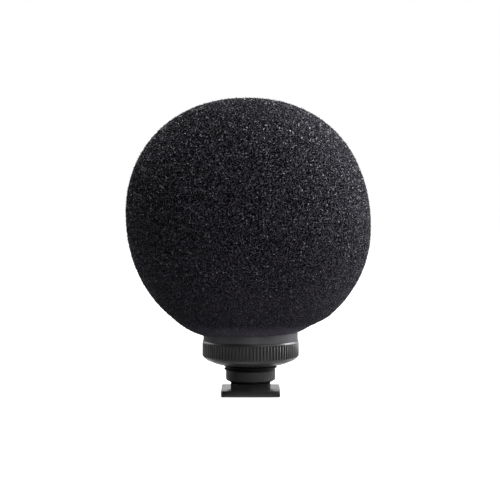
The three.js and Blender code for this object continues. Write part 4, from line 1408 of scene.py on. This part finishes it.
def strut_tree():
    """Scatters strut ends over the outer skin of the ball."""
    tree, enter = empty_tree("strut_ends", "Density", "Length", "Width", "Tilt")
    node, maths, ramp = adders(tree)
    spot = node("GeometryNodeInputPosition").outputs[0]
    x, y, z = node("ShaderNodeSeparateXYZ", {0: spot}).outputs
    across = node("ShaderNodeCombineXYZ", {"X": x, "Y": y}).outputs[0]
    radius = node("ShaderNodeVectorMath", {0: across}, operation="LENGTH").outputs["Value"]
    beside = node("FunctionNodeCompare", {0: radius, 1: (skirt_radius + STRUT_CLEAR) * MM})
    above = node("FunctionNodeCompare", {0: z, 1: (foam_crown + FREE_CROWN) * MM})
    outer = node("FunctionNodeBooleanMath", {0: beside.outputs[0], 1: above.outputs[0]},
                 operation="OR")
    points = node("GeometryNodeDistributePointsOnFaces", {
        "Mesh": enter["Geometry"], "Selection": outer.outputs[0], "Density": enter["Density"],
        "Seed": 7,
    }).outputs
    half = maths("MULTIPLY", enter["Width"], 0.5)
    strut = node("GeometryNodeMeshCone", {
        "Vertices": 3, "Radius Bottom": half,
        "Radius Top": maths("MULTIPLY", half, STRUT_TIP_SHARE), "Depth": enter["Length"],
    })
    back = maths("MULTIPLY", enter["Tilt"], -1.0)
    least = node("ShaderNodeCombineXYZ", {"X": back, "Y": back}).outputs[0]
    most = node("ShaderNodeCombineXYZ", {"X": enter["Tilt"], "Y": enter["Tilt"], "Z": math.tau})
    tilt = node("FunctionNodeRandomValue", {0: least, 1: most.outputs[0], "Seed": 11},
                data_type="FLOAT_VECTOR")
    size = node("FunctionNodeRandomValue", {2: STRUT_SIZES[0], 3: STRUT_SIZES[1], "Seed": 13},
                data_type="FLOAT").outputs[1]
    grown = maths("MULTIPLY", size, ramp(z, STRUT_START * MM, STRUT_END * MM, *STRUT_GROWTH))
    turned_to = node("FunctionNodeRotateRotation", {
        "Rotation": points["Rotation"], "Rotate By": tilt.outputs[0],
    }, rotation_space="LOCAL")
    copies = node("GeometryNodeInstanceOnPoints", {
        "Points": points["Points"], "Instance": strut.outputs["Mesh"],
        "Rotation": turned_to.outputs[0], "Scale": grown,
    })
    return end_tree(tree, copies.outputs[0], finishes["strut"])


struts = new_object("foam_strut_ends", foam.data.copy())
run_tree(struts, strut_tree(), Density=1 / (STRUT_SPACING * MM) ** 2,
         Length=STRUT_LENGTH * MM, Width=STRUT_WIDTH * MM, Tilt=STRUT_TILT)
dress(struts, "foam", body="windscreen", finish="strut")

# %% [markdown]
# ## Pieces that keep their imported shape
#
# The amplifier board and its parts stand inside the closed tube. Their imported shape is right, so
# each only gets its finish.

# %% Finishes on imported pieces
packed_finishes = {
    "main_board": "laminate", "preamp_chip": "moulding", "filter_capacitor_1": "can",
    "filter_capacitor_2": "can", "capsule_connector": "ivory",
}
for node, finish in packed_finishes.items():
    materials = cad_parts[node].data.materials
    materials.clear()
    materials.append(finishes[finish])

# %% [markdown]
# ## Floor, light and background
#
# The photograph is a plain studio shot on white. The light comes from the upper right and a
# little behind, so the ball's right side is lit and its left side falls away to near black. A large
# lamp at the right does that, and a weaker one stands higher behind it. A soft lamp above lights
# the crown, one in front to the right lifts the wheel and the stem, and a faint one behind to the
# left draws that edge. The world fills the rest. White comes from the floor and the world as the
# camera and the reflections see them, and not from more light.

# %% Floor
FLOOR_SIDE = 6.0
FLOOR_COLOUR = 0.48
FLOOR_GLOW = 0.97
ROOM = 0.12
NEAR_FOOT = (0.0125, 0.0155)
SIDE_SHARE = 0.3
DIM_TO_WHITE = (-0.4, 0.7)


def backdrop_level(tree, way):
    """How bright a reflection sees the studio in a direction: white behind, dim in front."""
    node, maths, ramp = adders(tree)
    side, back, _ = node("ShaderNodeSeparateXYZ", {0: way}).outputs
    behind = maths("MULTIPLY_ADD", maths("ABSOLUTE", side), SIDE_SHARE, back)
    return ramp(behind, *DIM_TO_WHITE, ROOM, 1.0, smooth=True)


def floor_finish():
    """Pale and plain, with enough glow of its own to read as white to the camera."""
    material, tree, inputs = new_material(
        "floor", Base_Color=(FLOOR_COLOUR,) * 3 + (1,), Roughness=0.9, Specular_IOR_Level=0.0,
        Emission_Color=(1, 1, 1, 1),
    )
    node, maths, ramp = adders(tree)
    spot = node("ShaderNodeTexCoord").outputs["Object"]
    way = node("ShaderNodeVectorMath", {0: spot}, operation="NORMALIZE").outputs[0]
    away = node("ShaderNodeVectorMath", {0: spot}, operation="LENGTH").outputs["Value"]
    shown = maths("MAXIMUM", backdrop_level(tree, way), ramp(away, *NEAR_FOOT, 1.0, ROOM, True))
    rays = node("ShaderNodeLightPath").outputs
    seen = maths("MULTIPLY", rays["Is Glossy Ray"], shown)
    seen = maths("MAXIMUM", seen, rays["Is Camera Ray"])
    seen = maths("MAXIMUM", seen, rays["Is Transmission Ray"])
    tree.links.new(maths("MULTIPLY", seen, FLOOR_GLOW), inputs["Emission Strength"])
    return material


sheet = bmesh.new()
bmesh.ops.create_grid(sheet, x_segments=1, y_segments=1, size=FLOOR_SIDE / 2)
floor = from_bmesh("floor", sheet)
floor.data.materials.append(floor_finish())

# %% Lamps and world
TARGET = Vector((0, 0, 0.055))
AMBIENT = 0.09
LAMPS = {
    "key_right": ((0.64, 0.2, 0.25), 0.4, 9.2),
    "top_soft": ((0.16, -0.02, 0.75), 0.5, 4.2),
    "rim_right": ((0.45, 0.5, 0.46), 0.5, 2.1),
    "front_soft": ((0.47, -0.65, 0.2), 0.6, 4.3),
    "rim_left": ((-0.6, 0.38, 0.3), 0.4, 1.3),
}

for name, (spot, side, power) in LAMPS.items():
    light = bpy.data.lights.new(name, "AREA")
    light.shape = "SQUARE"
    light.size = side
    light.energy = power
    lamp = new_object(name, light)
    lamp.location = spot
    lamp.rotation_mode = "QUATERNION"
    lamp.rotation_quaternion = (TARGET - Vector(spot)).to_track_quat("-Z", "Y")

world = bpy.data.worlds.new("studio")
bpy.context.scene.world = world
world.use_nodes = True
sky = world.node_tree
node, maths, _ = adders(sky)
backdrop = backdrop_level(sky, node("ShaderNodeTexCoord").outputs["Generated"])
rays = node("ShaderNodeLightPath").outputs
seen = maths("MAXIMUM", rays["Is Camera Ray"], rays["Is Transmission Ray"])
level = node("ShaderNodeMix", {0: rays["Is Glossy Ray"], 2: AMBIENT, 3: backdrop}).outputs[0]
level = node("ShaderNodeMix", {0: seen, 2: level, 3: 1.0}).outputs[0]
sky.nodes["Background"].inputs["Color"].default_value = (1, 1, 1, 1)
sky.links.new(level, sky.nodes["Background"].inputs["Strength"])
bpy.context.scene.view_settings.view_transform = "Standard"
